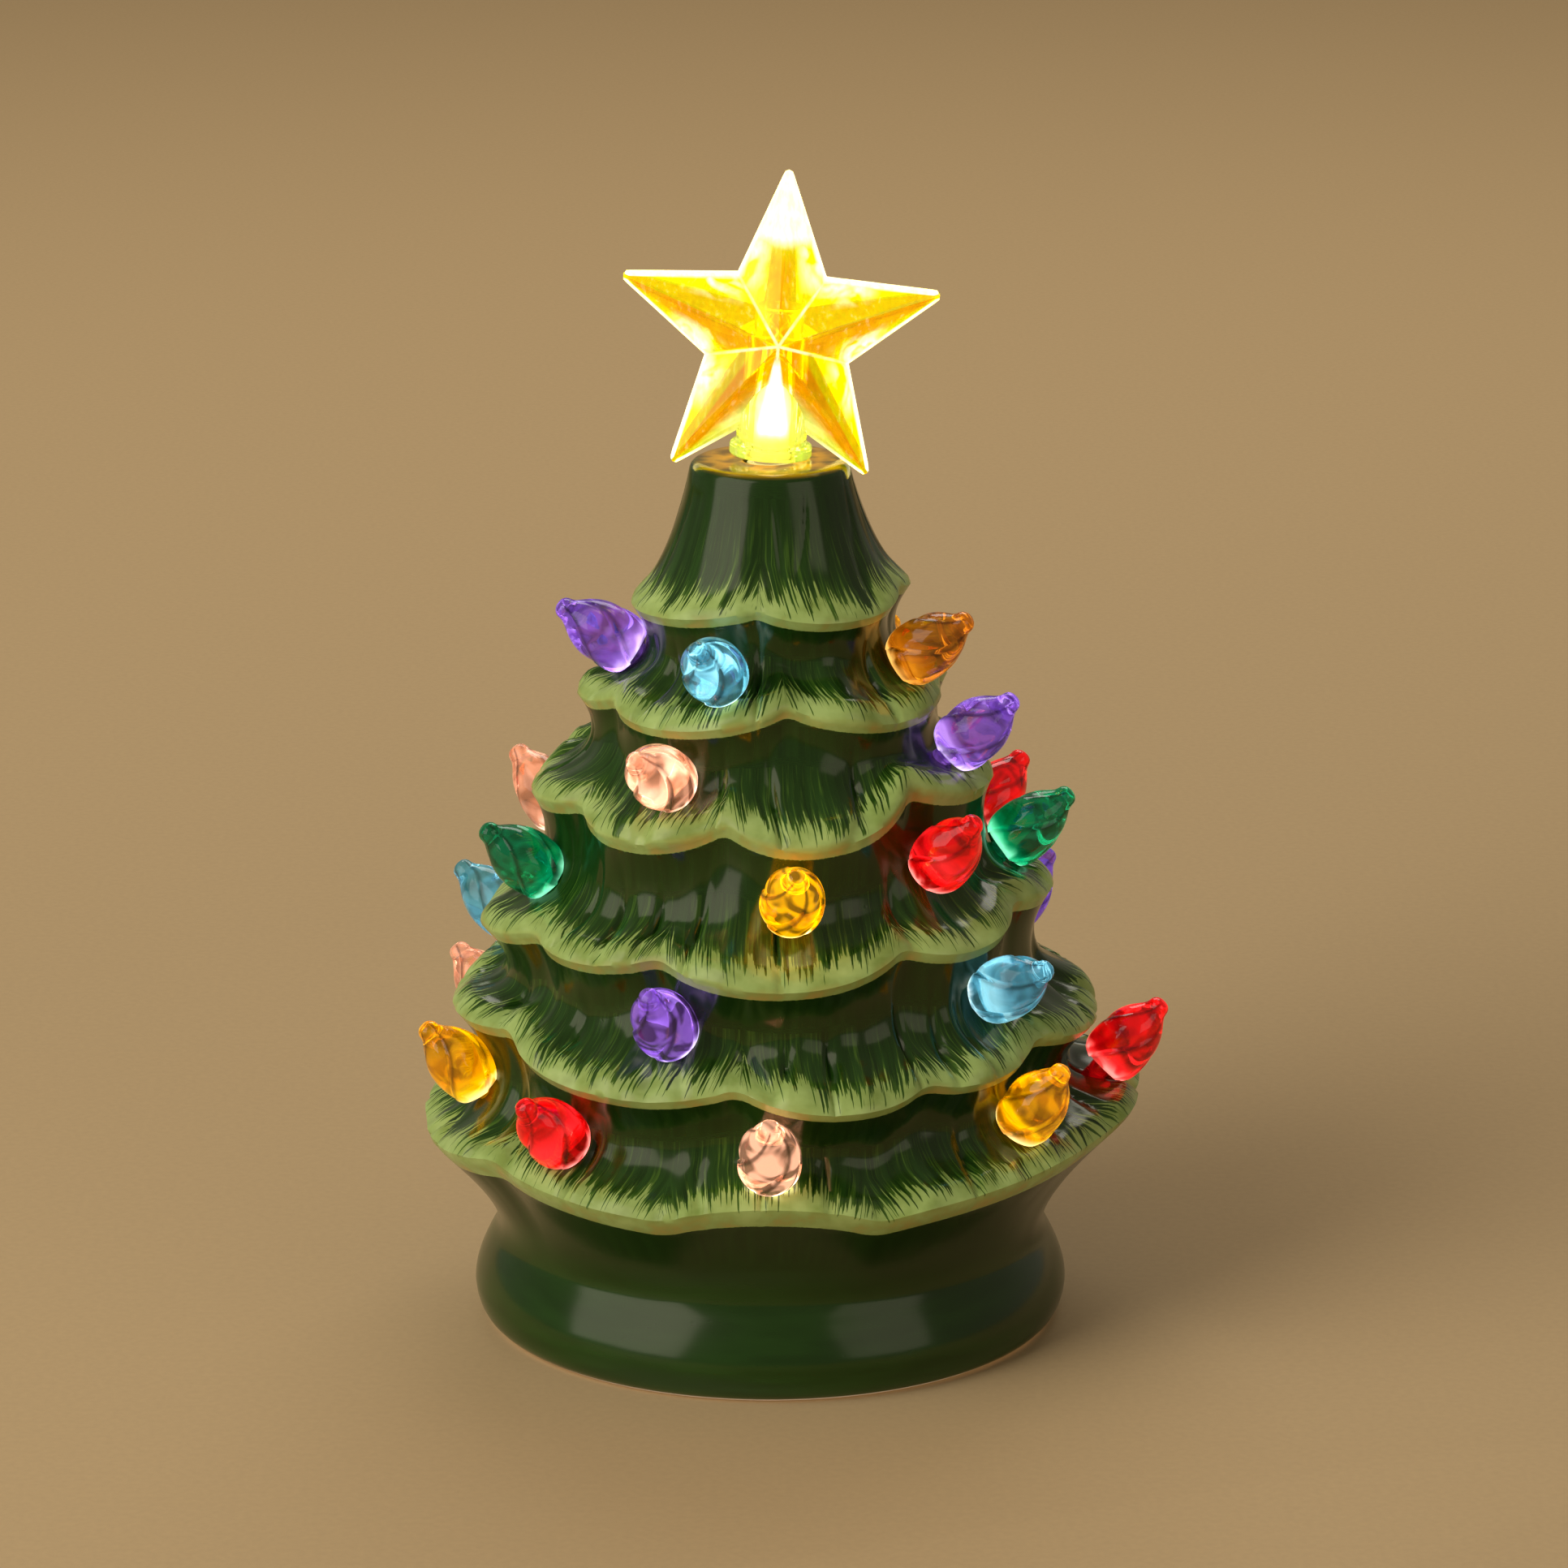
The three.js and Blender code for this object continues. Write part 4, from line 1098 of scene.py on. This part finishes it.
    def lay_hollow(self) -> None:
        """Lays the bare inside: the case's seat in the foot, then the hollow up to the post's hole."""
        seat, bore = self.seat_radius, self.bore_radius
        inside = [
            (seat + 0.9, 0.0), (seat + 0.25, 0.1), (seat, 0.4), (seat, self.seat_height - 0.1),
            (seat - 0.2, self.seat_height), (bore + 0.2, self.seat_height), (bore, self.seat_height + 0.2),
            (bore, self.bore_height),
        ]
        for number in range(len(self.tiers) - 1, -1, -1):
            tier = self.tiers[number]
            if number < len(self.tiers) - 1:
                inside.append((tier.neck_radius - self.wall, tier.neck_height))
            above = self.tiers[number - 1].neck_height if number else self.top_height
            reach = self.hem_wall if number else self.hem_wall - 2
            inside.append((tier.hem_radius - reach, min(tier.hem_height + 1, above - self.wall)))
        ceiling = self.top_height - self.wall
        inside += [(6.1, ceiling), (self.post_hole + 0.3, ceiling), (self.post_hole, ceiling + 0.3)]
        for radius, height in inside:
            self.lay_row(radius, height, self.base_rise)


# Twist bulbs


class BulbColour(Enum):
    """The colours of the bulbs, as their nodes are named."""

    PURPLE = "purple"
    LIGHT_BLUE = "light_blue"
    AMBER = "amber"
    PINK = "pink"
    GREEN = "green"
    GOLD = "gold"
    RED = "red"


PLASTICS = {
    BulbColour.PURPLE: ClearPlastic("bulb_purple", (0.32, 0.13, 0.72), (0.85, 0.75, 1.0), 0.26),
    BulbColour.LIGHT_BLUE: ClearPlastic("bulb_light_blue", (0.16, 0.56, 0.74), (0.85, 1.0, 1.0), 0.17),
    BulbColour.AMBER: ClearPlastic("bulb_amber", (0.66, 0.22, 0.005), (1.0, 0.6, 0.15), 0.18),
    BulbColour.PINK: ClearPlastic("bulb_pink", (0.96, 0.45, 0.28), (1.0, 0.85, 0.7), 0.35),
    BulbColour.GREEN: ClearPlastic("bulb_green", (0.0, 0.32, 0.12), (0.3, 0.95, 0.6), 0.18),
    BulbColour.GOLD: ClearPlastic("bulb_gold", (1.0, 0.44, 0.0), (1.0, 0.85, 0.35), 0.34),
    BulbColour.RED: ClearPlastic("bulb_red", (0.85, 0.003, 0.006), (1.0, 0.36, 0.3), 0.33),
}


@dataclass
class TwistBulb:
    """A clear bulb like a rosebud: petals that wind round it and close on a small knob, on a round peg."""

    colour: BulbColour
    number: int
    radius: float = 4.3
    length: float = 12.4
    twist: float = math.radians(125)
    petals: int = 4
    petal_columns: int = 16
    side_levels: int = 25
    tip_levels: tuple[float, ...] = (0.93, 0.96, 0.985, 0.996, 1.0)
    fold: float = 0.1
    peg_radius: float = 1.5
    peg_length: float = 5.5
    sink: float = 0.7
    seat_step: float = 0.35
    seam_end: float = 0.97
    glow_level: float = 0.14
    glow_fall: float = 1.6
    side_light: float = 0.8
    # Painted light: a bulb that looks to the front is made to glow brighter than the rest.
    painted_front_glow: float = 1.8
    painted_front_fall: int = 10
    outline: tuple[Point, ...] = (
        (0.86, 0.0), (0.93, 0.05), (0.985, 0.14), (1.0, 0.26), (0.985, 0.38), (0.93, 0.5), (0.82, 0.61),
        (0.67, 0.71), (0.51, 0.79), (0.41, 0.84), (0.36, 0.88), (0.345, 0.92), (0.305, 0.955),
        (0.22, 0.983), (0.12, 0.996), (0.0, 1.0),
    )

    @property
    def node(self) -> str:
        """The name of the bulb's node."""
        return f"bulb_{self.colour.value}_{self.number}"

    def seat(self) -> Matrix:
        """Finds where the bulb stands from its node: its axis, and the middle of its seat.

        Returns:
            The matrix that stands Z on the seat, in metres.
        """
        corners = np.array([point.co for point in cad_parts[self.node].data.vertices])
        corners = np.unique(corners.round(6), axis=0)
        middle = corners.mean(axis=0)
        spread = np.linalg.svd(corners - middle, full_matrices=False)[2]
        axis = spread[0]
        if axis @ np.array([middle[0], middle[1], 0.05]) < 0:
            axis = -axis
        tip = ((corners - middle) @ axis).max()
        seat = middle + axis * (tip - (self.length + self.sink) * MM)
        turn = Vector((0, 0, 1)).rotation_difference(Vector(axis))
        return Matrix.Translation(Vector(seat)) @ turn.to_matrix().to_4x4()

    def petal(self, columns: np.ndarray) -> np.ndarray:
        """How far a column stands out on its petal, which overlaps the next with a small step."""
        share = (columns % self.petal_columns) / self.petal_columns
        return 0.6 * np.sin(np.pi * share) + (0.5 - share) - 0.3

    def fold_at(self, level: np.ndarray) -> np.ndarray:
        """How deep the petals fold at a level: most in the middle, and least at the tip."""
        return self.fold * (0.45 + 0.55 * np.sin(np.pi * np.minimum(1, 0.12 + 1.05 * level)))

    def build(self, material: Finish, phase: float) -> Piece:
        """Builds the bulb on its node's seat.

        Args:
            material: Its finish.
            phase: How far the petals are turned about the bulb's axis, in radians.

        Returns:
            The piece.
        """
        reach, rise = np.array(self.outline).T
        levels = np.concatenate([np.linspace(0, 0.9, self.side_levels), self.tip_levels])
        fine = np.array([self.smooth_reach(level, rise, reach) for level in levels])
        count = self.petals * self.petal_columns
        peg = [(0.0, -self.peg_length), (self.peg_radius - 0.3, -self.peg_length),
               (self.peg_radius, -self.peg_length + 0.3), (self.peg_radius, -0.05),
               (self.peg_radius + 0.2, 0.0), (self.radius * reach[0] - 0.25, 0.0)]
        mesh = tube_grid(len(peg) + len(levels), count, False)
        rows, columns = grid_place(mesh, count)
        radius = np.concatenate([[point[0] for point in peg], fine * self.radius])[rows]
        height = np.concatenate([[point[1] for point in peg], levels * self.length])[rows]
        level = np.clip(height / self.length, 0, 1)
        head = rows >= len(peg)
        petal = self.petal(columns)
        radius = np.where(head, radius * (1 + self.fold_at(level) * petal), radius)
        height = height + np.where(head, self.seat_step * petal * np.clip(1 - 5 * level, 0, 1), 0.0)
        angles = columns / count * math.tau + self.twist * level + phase
        flat = np.stack([radius * np.cos(angles), radius * np.sin(angles), height], axis=1)
        move_points(mesh, flat)
        seam = columns % self.petal_columns
        # Painted shade: marks the petals' seams, which the plastic draws darker.
        line = np.where(seam <= 1, 1.0, np.where(seam == 2, 0.25, 0.0)) * head * (level < self.seam_end)
        glow = np.where(head, np.exp(-((level / self.glow_level) ** self.glow_fall)), 0.25)
        seat = self.seat()
        # The lit attribute carries painted light: more glow for a bulb that looks to the front.
        lit = np.full(len(level), self.glow_with_painted_front(seat))
        for name, values in (("glow", glow), ("fold", line), ("lit", lit)):
            layer = mesh.verts.layers.float.new(name)
            for point, value in zip(mesh.verts, values):
                point[layer] = value
        bmesh.ops.remove_doubles(mesh, verts=mesh.verts[:], dist=2 * WELD)
        bmesh.ops.transform(mesh, matrix=seat, verts=mesh.verts[:])
        piece = finished(mesh, f"twist_{self.node}", material, 60.0)
        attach(piece, Body.LAMP.value)
        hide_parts(self.node)
        LOG.info("%s: %d faces", piece.name, len(piece.data.polygons))
        return piece

    def glow_with_painted_front(self, seat: Matrix) -> float:
        """How strongly the bulb glows, with painted light that brightens it most where it looks to the
        front.
        """
        way = (seat.to_3x3() @ Vector((0, 0, 1))).xy.normalized()
        return self.side_light + self.painted_front_glow * max(0.0, -way.y) ** self.painted_front_fall

    @staticmethod
    def smooth_reach(level: float, rise: np.ndarray, reach: np.ndarray) -> float:
        """Reads the outline at a level, eased between its points.

        Args:
            level: The share of the way from seat to tip.
            rise: The outline's levels.
            reach: Its radii as shares of the bulb's.

        Returns:
            The radius as a share of the bulb's.
        """
        slopes = np.gradient(reach, rise)
        at = int(np.clip(np.searchsorted(rise, level) - 1, 0, len(rise) - 2))
        span = rise[at + 1] - rise[at]
        t = (level - rise[at]) / span
        first = (2 * t ** 3 - 3 * t ** 2 + 1) * reach[at] + (t ** 3 - 2 * t ** 2 + t) * span * slopes[at]
        second = (3 * t ** 2 - 2 * t ** 3) * reach[at + 1] + (t ** 3 - t ** 2) * span * slopes[at + 1]
        return max(0.0, float(first + second))


# Star


@dataclass
class StarTopper:
    """The moulded star with its hub, collar and bore, and the lamp that stands in the bore."""

    base_height: float = 123.8
    lean: float = 3.8
    radius: float = 22.9
    valley: float = 10.4
    depth: float = 16.0
    rim: float = 1.8
    centre: float = 17.5
    tip: float = 0.8
    tip_turn: tuple[Point, ...] = ((1.0, -1.0), (0.28, -0.62), (0.0, 0.0), (0.28, 0.62), (1.0, 1.0))
    ridge_cuts: int = 9
    collar: Point = (5.7, 2.4)
    hub: Point = (4.9, 13.0)
    hub_dome: tuple[Point, ...] = ((0.0, 0.3), (0.12, 0.48), (0.45, 0.66), (1.0, 0.82), (2.0, 0.94))
    bore: Point = (3.3, 21.5)
    lamp: Point = (2.5, 10.0)
    lamp_flange: float = 2.85
    lamp_foot: float = 0.5
    dome_steps: int = 8
    seat: float = 0.68
    hub_columns: int = 64
    lamp_columns: int = 48

    def place(self) -> Matrix:
        """The matrix from the star's own frame to the part's, in metres."""
        turn = Matrix.Rotation(math.radians(self.lean), 4, "Y")
        return Matrix.Translation((0, 0, self.base_height * MM)) @ turn

    def outline(self) -> list[Vector]:
        """Draws the star's outline, with a small round tip on each arm.

        Returns:
            Its points in the XZ plane of the star's own frame, in metres.
        """
        spread = math.atan(self.tip / self.radius)
        points = []
        corners = [(self.radius - drop * self.tip, side * spread) for drop, side in self.tip_turn]
        for arm in range(ARMS):
            for radius, turn in [*corners, (self.valley, ARM_TURN / 2)]:
                angle = math.pi / 2 + arm * math.tau / ARMS + turn
                points.append(Vector((
                    radius * math.cos(angle) * MM, 0.0, (radius * math.sin(angle) + self.centre) * MM,
                )))
        return points

    def star_mesh(self) -> Mesh:
        """Draws the outline, gives it its rim, and raises an apex on each side.

        Returns:
            The star's body as a bmesh.
        """
        mesh = bmesh.new()
        half = Vector((0, self.rim / 2 * MM, 0))
        face = mesh.faces.new([mesh.verts.new(point - half) for point in self.outline()])
        pushed = bmesh.ops.extrude_face_region(mesh, geom=[face])
        moved = [part for part in pushed["geom"] if isinstance(part, bmesh.types.BMVert)]
        bmesh.ops.translate(mesh, vec=2 * half, verts=moved)
        wide = [part for part in mesh.faces if len(part.verts) > 4]
        centres = bmesh.ops.poke(mesh, faces=wide)["verts"]
        for point in centres:
            side = 1 if point.co.y > 0 else -1
            point.co = Vector((0, side * self.depth / 2 * MM, self.centre * MM))
        ridges = [
            edge for edge in mesh.edges
            if any(abs(abs(point.co.y) - self.depth / 2 * MM) < 1e-7 for point in edge.verts)
        ]
        bmesh.ops.subdivide_edges(mesh, edges=ridges, cuts=self.ridge_cuts, use_grid_fill=True)
        bmesh.ops.recalc_face_normals(mesh, faces=mesh.faces[:])
        return mesh

    def build(self, plastic: Finish) -> Piece:
        """Builds the star, joined with its hub and bored for its lamp.

        Args:
            plastic: Its finish.

        Returns:
            The piece.
        """
        piece = finished(self.star_mesh(), "star_topper_clear", plastic, None)
        c, h = self.collar, self.hub
        hub = [
            (0.0, self.seat), (c[0] - 0.15, self.seat), (c[0], self.seat + 0.2), (c[0], c[1] - 0.4),
            (c[0] - 0.12, c[1] - 0.12), (c[0] - 0.4, c[1]), (h[0] + 0.12, c[1] + 0.25), (h[0], c[1] + 0.6),
            *((h[0] - inward, c[1] + share * h[1]) for inward, share in self.hub_dome), (0.0, c[1] + h[1]),
        ]
        b = self.bore
        bore = [
            (0.0, -1.0), (b[0], -1.0), (b[0], b[1] - 0.5), (b[0] - 0.15, b[1] - 0.15), (b[0] - 0.5, b[1]),
            (0.0, b[1]),
        ]
        for name, outline, operation in (("hub", hub, "UNION"), ("bore", bore, "DIFFERENCE")):
            mesh = turned_points(outline, self.hub_columns, Matrix.Identity(4))
            cutter = finished(mesh, name, plastic, None)
            joint = piece.modifiers.new(name, "BOOLEAN")
            joint.operation, joint.object, joint.solver = operation, cutter, "EXACT"
            apply_modifiers(piece)
            bpy.data.objects.remove(cutter)
        self.shade(piece)
        piece.data.transform(self.place())
        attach(piece, Body.STAR.value)
        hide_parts("star_topper")
        LOG.info("star_topper_clear: %d faces", len(piece.data.polygons))
        return piece

    def shade(self, piece: Piece) -> None:
        """Stores each point's place in the star's frame, marks the hub and sharpens the edges.

        Args:
            piece: The star in its own frame.
        """
        places = np.array([point.co for point in piece.data.vertices]) / MM
        near = np.hypot(places[:, 0], places[:, 1]) < self.collar[0] + 0.1
        low = places[:, 2] < self.collar[1] + 0.8 * self.hub[1]
        give_attribute(piece, "hub", (near & low).astype(float))
        give_attribute(piece, "star_place", places - np.array([0.0, 0.0, self.centre]))
        piece.data.shade_smooth()
        piece.data.set_sharp_from_angle(angle=math.radians(9))

    def build_lamp(self, glow: Finish) -> Piece:
        """Builds the lamp in the star's bore.

        Args:
            glow: Its finish.

        Returns:
            The piece.
        """
        radius, height = self.lamp
        low = self.lamp_foot
        outline = [
            (0.0, low), (self.lamp_flange - 0.1, low), (self.lamp_flange, low + 0.15),
            (self.lamp_flange, low + 0.9), (self.lamp_flange - 0.15, low + 1), (radius, low + 1.05),
            (radius, low + height - radius),
        ]
        for step in range(1, self.dome_steps + 1):
            turn = step / self.dome_steps * math.pi / 2
            outline.append((radius * math.cos(turn), low + height - radius + radius * math.sin(turn)))
        mesh = turned_points(outline, self.lamp_columns, self.place())
        piece = finished(mesh, "star_lamp_lit", glow, 40.0)
        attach(piece, Body.LAMP.value)
        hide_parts("star_lamp")
        LOG.info("star_lamp_lit: %d faces", len(piece.data.polygons))
        return piece


# Parts kept as they are


@dataclass
class LightPost:
    """The post inside the tree, its small lamps and its wires, which keep their nodes."""

    lamps: int = 3

    def dress(self) -> None:
        """Gives the post, the lamps and the wires their finishes."""
        dress("light_post", MouldedPlastic("post_plastic", (0.8, 0.79, 0.74)).material(), 0.15)
        lit = Glow("inner_lamp_resin", (1.0, 0.86, 0.6), 3.0).material()
        for number in range(1, self.lamps + 1):
            dress(f"inner_lamp_{number}", lit)
        for name, colour in (("wire_red", (0.4, 0.01, 0.01)), ("wire_black", (0.012, 0.012, 0.012))):
            dress(name, MouldedPlastic(name, colour, 0.4).material())


@dataclass
class BatteryCase:
    """The round case in the foot: tray, cover, door, cells, contacts, screws, switch and board."""

    cells: int = 3
    edge: float = 0.3

    def dress(self) -> None:
        """Gives each part of the case its finish and broken edges."""
        shell = MouldedPlastic("case_plastic", (0.045, 0.06, 0.05), 0.4, 0.00006).material()
        for name in ("case_tray", "case_cover", "battery_door"):
            dress(name, shell, self.edge)
        steel = PlatedMetal("steel").material()
        for name in ("door_screw", "cover_screw_1", "cover_screw_2"):
            dress(name, steel, 0.12)
        for number in range(1, self.cells + 1):
            dress(f"battery_{number}", CellWrap().material(), 0.15, 50)
            dress(f"contact_{number}", steel, 0.08)
            dress(f"contact_coil_{number}", steel, 0.0, 80)
        black = MouldedPlastic("black_plastic", (0.008, 0.008, 0.009), 0.35).material()
        dress("switch_knob", black, 0.15)
        dress("switch_body", black, 0.2)
        dress("control_board", BoardLaminate().material(), 0.05)


# Studio


@dataclass(frozen=True)
class SoftBox:
    """A soft lamp: its place and size in metres, its power in watts, its colour and its panels' widths."""

    name: str
    place: Triple
    size: Point
    power: float
    colour: Colour
    panels: tuple[float, ...] = (1.0,)


@dataclass
class Studio:
    """Floor, soft lamps and camera."""

    floor_reach: float = 8.0
    foot_reach: float = 0.02
    foot_gap: float = 0.00005
    paper: Colour = (0.455, 0.31, 0.15)
    far_paper: Colour = (0.66, 0.45, 0.22)
    far_range: Point = (0.2, 1.3)
    camera_place: Triple = (0.00195, -0.858, 0.317)
    camera_pitch: float = 15.623
    focal_pixels: float = 7820.0
    picture_pixels: float = 1932.0
    sensor: float = 36.0
    aim_height: float = 0.08
    sky: Colour = (0.8, 0.72, 0.58)
    sky_strength: float = 0.3
    boxes: tuple[SoftBox, ...] = (
        SoftBox("key", (-0.9, -0.56, 0.62), (1.1, 1.15), 19.0, (1.0, 0.97, 0.9), (1.0, 0.8, 0.62, 0.46)),
        SoftBox("fill", (0.9, -0.9, 0.5), (0.8, 0.8), 2.2, (1.0, 0.95, 0.86), (1.0, 0.7)),
        SoftBox("back", (0.1, 0.8, 0.95), (0.9, 0.5), 4.0, (1.0, 0.97, 0.92)),
        SoftBox("below", (-0.5, -0.5, -0.9), (1.1, 1.1), 8.0, (1.0, 0.97, 0.9)),
    )

    def build(self) -> None:
        """Lays the floor, hangs the lamps and places the camera."""
        self.lay_floor()
        self.light()
        self.place_camera()
        view = bpy.context.scene.view_settings
        view.view_transform = "Standard"
        LOG.info("studio: floor, lamps and camera")

    def lay_floor(self) -> None:
        """Lays a plain paper floor, which doesn't show from below and lets light in under the foot."""
        w = Wiring("paper_floor")
        fibres = w.cloud(w.place(), 900.0, 4.0)
        out = w.node("VectorMath", {0: w.place()}, operation="LENGTH").outputs["Value"]
        colour = w.blend(w.spread(out, *self.far_range), self.paper, self.far_paper)
        colour = w.blend(w.spread(fibres, 0.3, 0.7, 0.0, 0.06), colour, (0.0, 0.0, 0.0))
        shader = w.node("BsdfPrincipled", {"Base Color": colour, "Roughness": 0.85})
        clear = w.node("BsdfTransparent")
        path = w.node("LightPath").outputs
        near = w.math("LESS_THAN", path["Ray Length"], self.foot_reach)
        near = w.times(near, w.minus(1.0, path["Is Glossy Ray"]))
        behind = w.largest(w.node("NewGeometry").outputs["Backfacing"], near)
        mixed = w.node("MixShader", {0: behind, 1: shader.outputs[0], 2: clear.outputs[0]})
        w.tree.links.new(mixed.outputs[0], w.output.inputs[0])
        mesh = bmesh.new()
        low = Matrix.Translation((0, 0, -self.foot_gap))
        bmesh.ops.create_grid(mesh, x_segments=1, y_segments=1, size=self.floor_reach, matrix=low)
        floor = finished(mesh, "floor", w.material, None)

    def softbox(self, box: SoftBox) -> None:
        """Hangs a soft lamp that looks at the tree.

        Its panels share its right edge, and so fade to the left.

        Args:
            box: The lamp.
        """
        aim = (Vector((0, 0, self.aim_height)) - Vector(box.place)).to_track_quat("-Z", "Y")
        whole = sum(box.panels)
        for number, share in enumerate(box.panels):
            data = bpy.data.lights.new(f"{box.name}_{number}", "AREA")
            data.shape = "RECTANGLE"
            data.size, data.size_y = box.size[0] * share, box.size[1] * (0.7 + 0.3 * share)
            data.energy, data.color = box.power * share / whole, box.colour
            lamp = bpy.data.objects.new(data.name, data)
            shift = aim @ Vector((box.size[0] * (1 - share) / 2, 0, 0))
            lamp.location = Vector(box.place) + shift
            lamp.rotation_euler = aim.to_euler()
            bpy.context.scene.collection.objects.link(lamp)

    def light(self) -> None:
        """Hangs the lamps and sets the soft light from all round."""
        for box in self.boxes:
            self.softbox(box)
        world = bpy.data.worlds.new("studio")
        world.use_nodes = True
        background = world.node_tree.nodes["Background"]
        background.inputs["Color"].default_value = (*self.sky, 1.0)
        background.inputs["Strength"].default_value = self.sky_strength
        bpy.context.scene.world = world

    def place_camera(self) -> None:
        """Places the camera at the photograph's angle."""
        data = bpy.data.cameras.new("photo_camera")
        data.sensor_width = self.sensor
        data.lens = self.focal_pixels / self.picture_pixels * self.sensor
        camera = bpy.data.objects.new("photo_camera", data)
        camera.location = self.camera_place
        camera.rotation_euler = (math.radians(90 - self.camera_pitch), 0, 0)
        bpy.context.scene.collection.objects.link(camera)
        bpy.context.scene.camera = camera


def build_bulbs() -> None:
    """Builds every bulb whose node the frame holds, each turned a little differently about its axis."""
    dice = random.Random(12)
    for colour in BulbColour:
        material = PLASTICS[colour].material()
        prefix = f"bulb_{colour.value}_"
        numbers = sorted(int(name[len(prefix):]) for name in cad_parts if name.startswith(prefix))
        for number in numbers:
            TwistBulb(colour, number).build(material, dice.uniform(0, math.tau))


def main() -> None:
    """Builds the camera and lights first, then every piece of the tree."""
    logging.basicConfig(level=logging.INFO, format="%(name)s: %(message)s")
    Studio().build()
    CeramicTree().build(BrushedGlaze().material())
    build_bulbs()
    star = StarTopper()
    star.build(LitStar(star.radius, star.valley).material())
    star.build_lamp(Glow("star_lamp_resin", (1.0, 0.82, 0.45), 4.5, 0.1262).material())
    LightPost().dress()
    BatteryCase().dress()


if __name__ == "__main__":
    main()
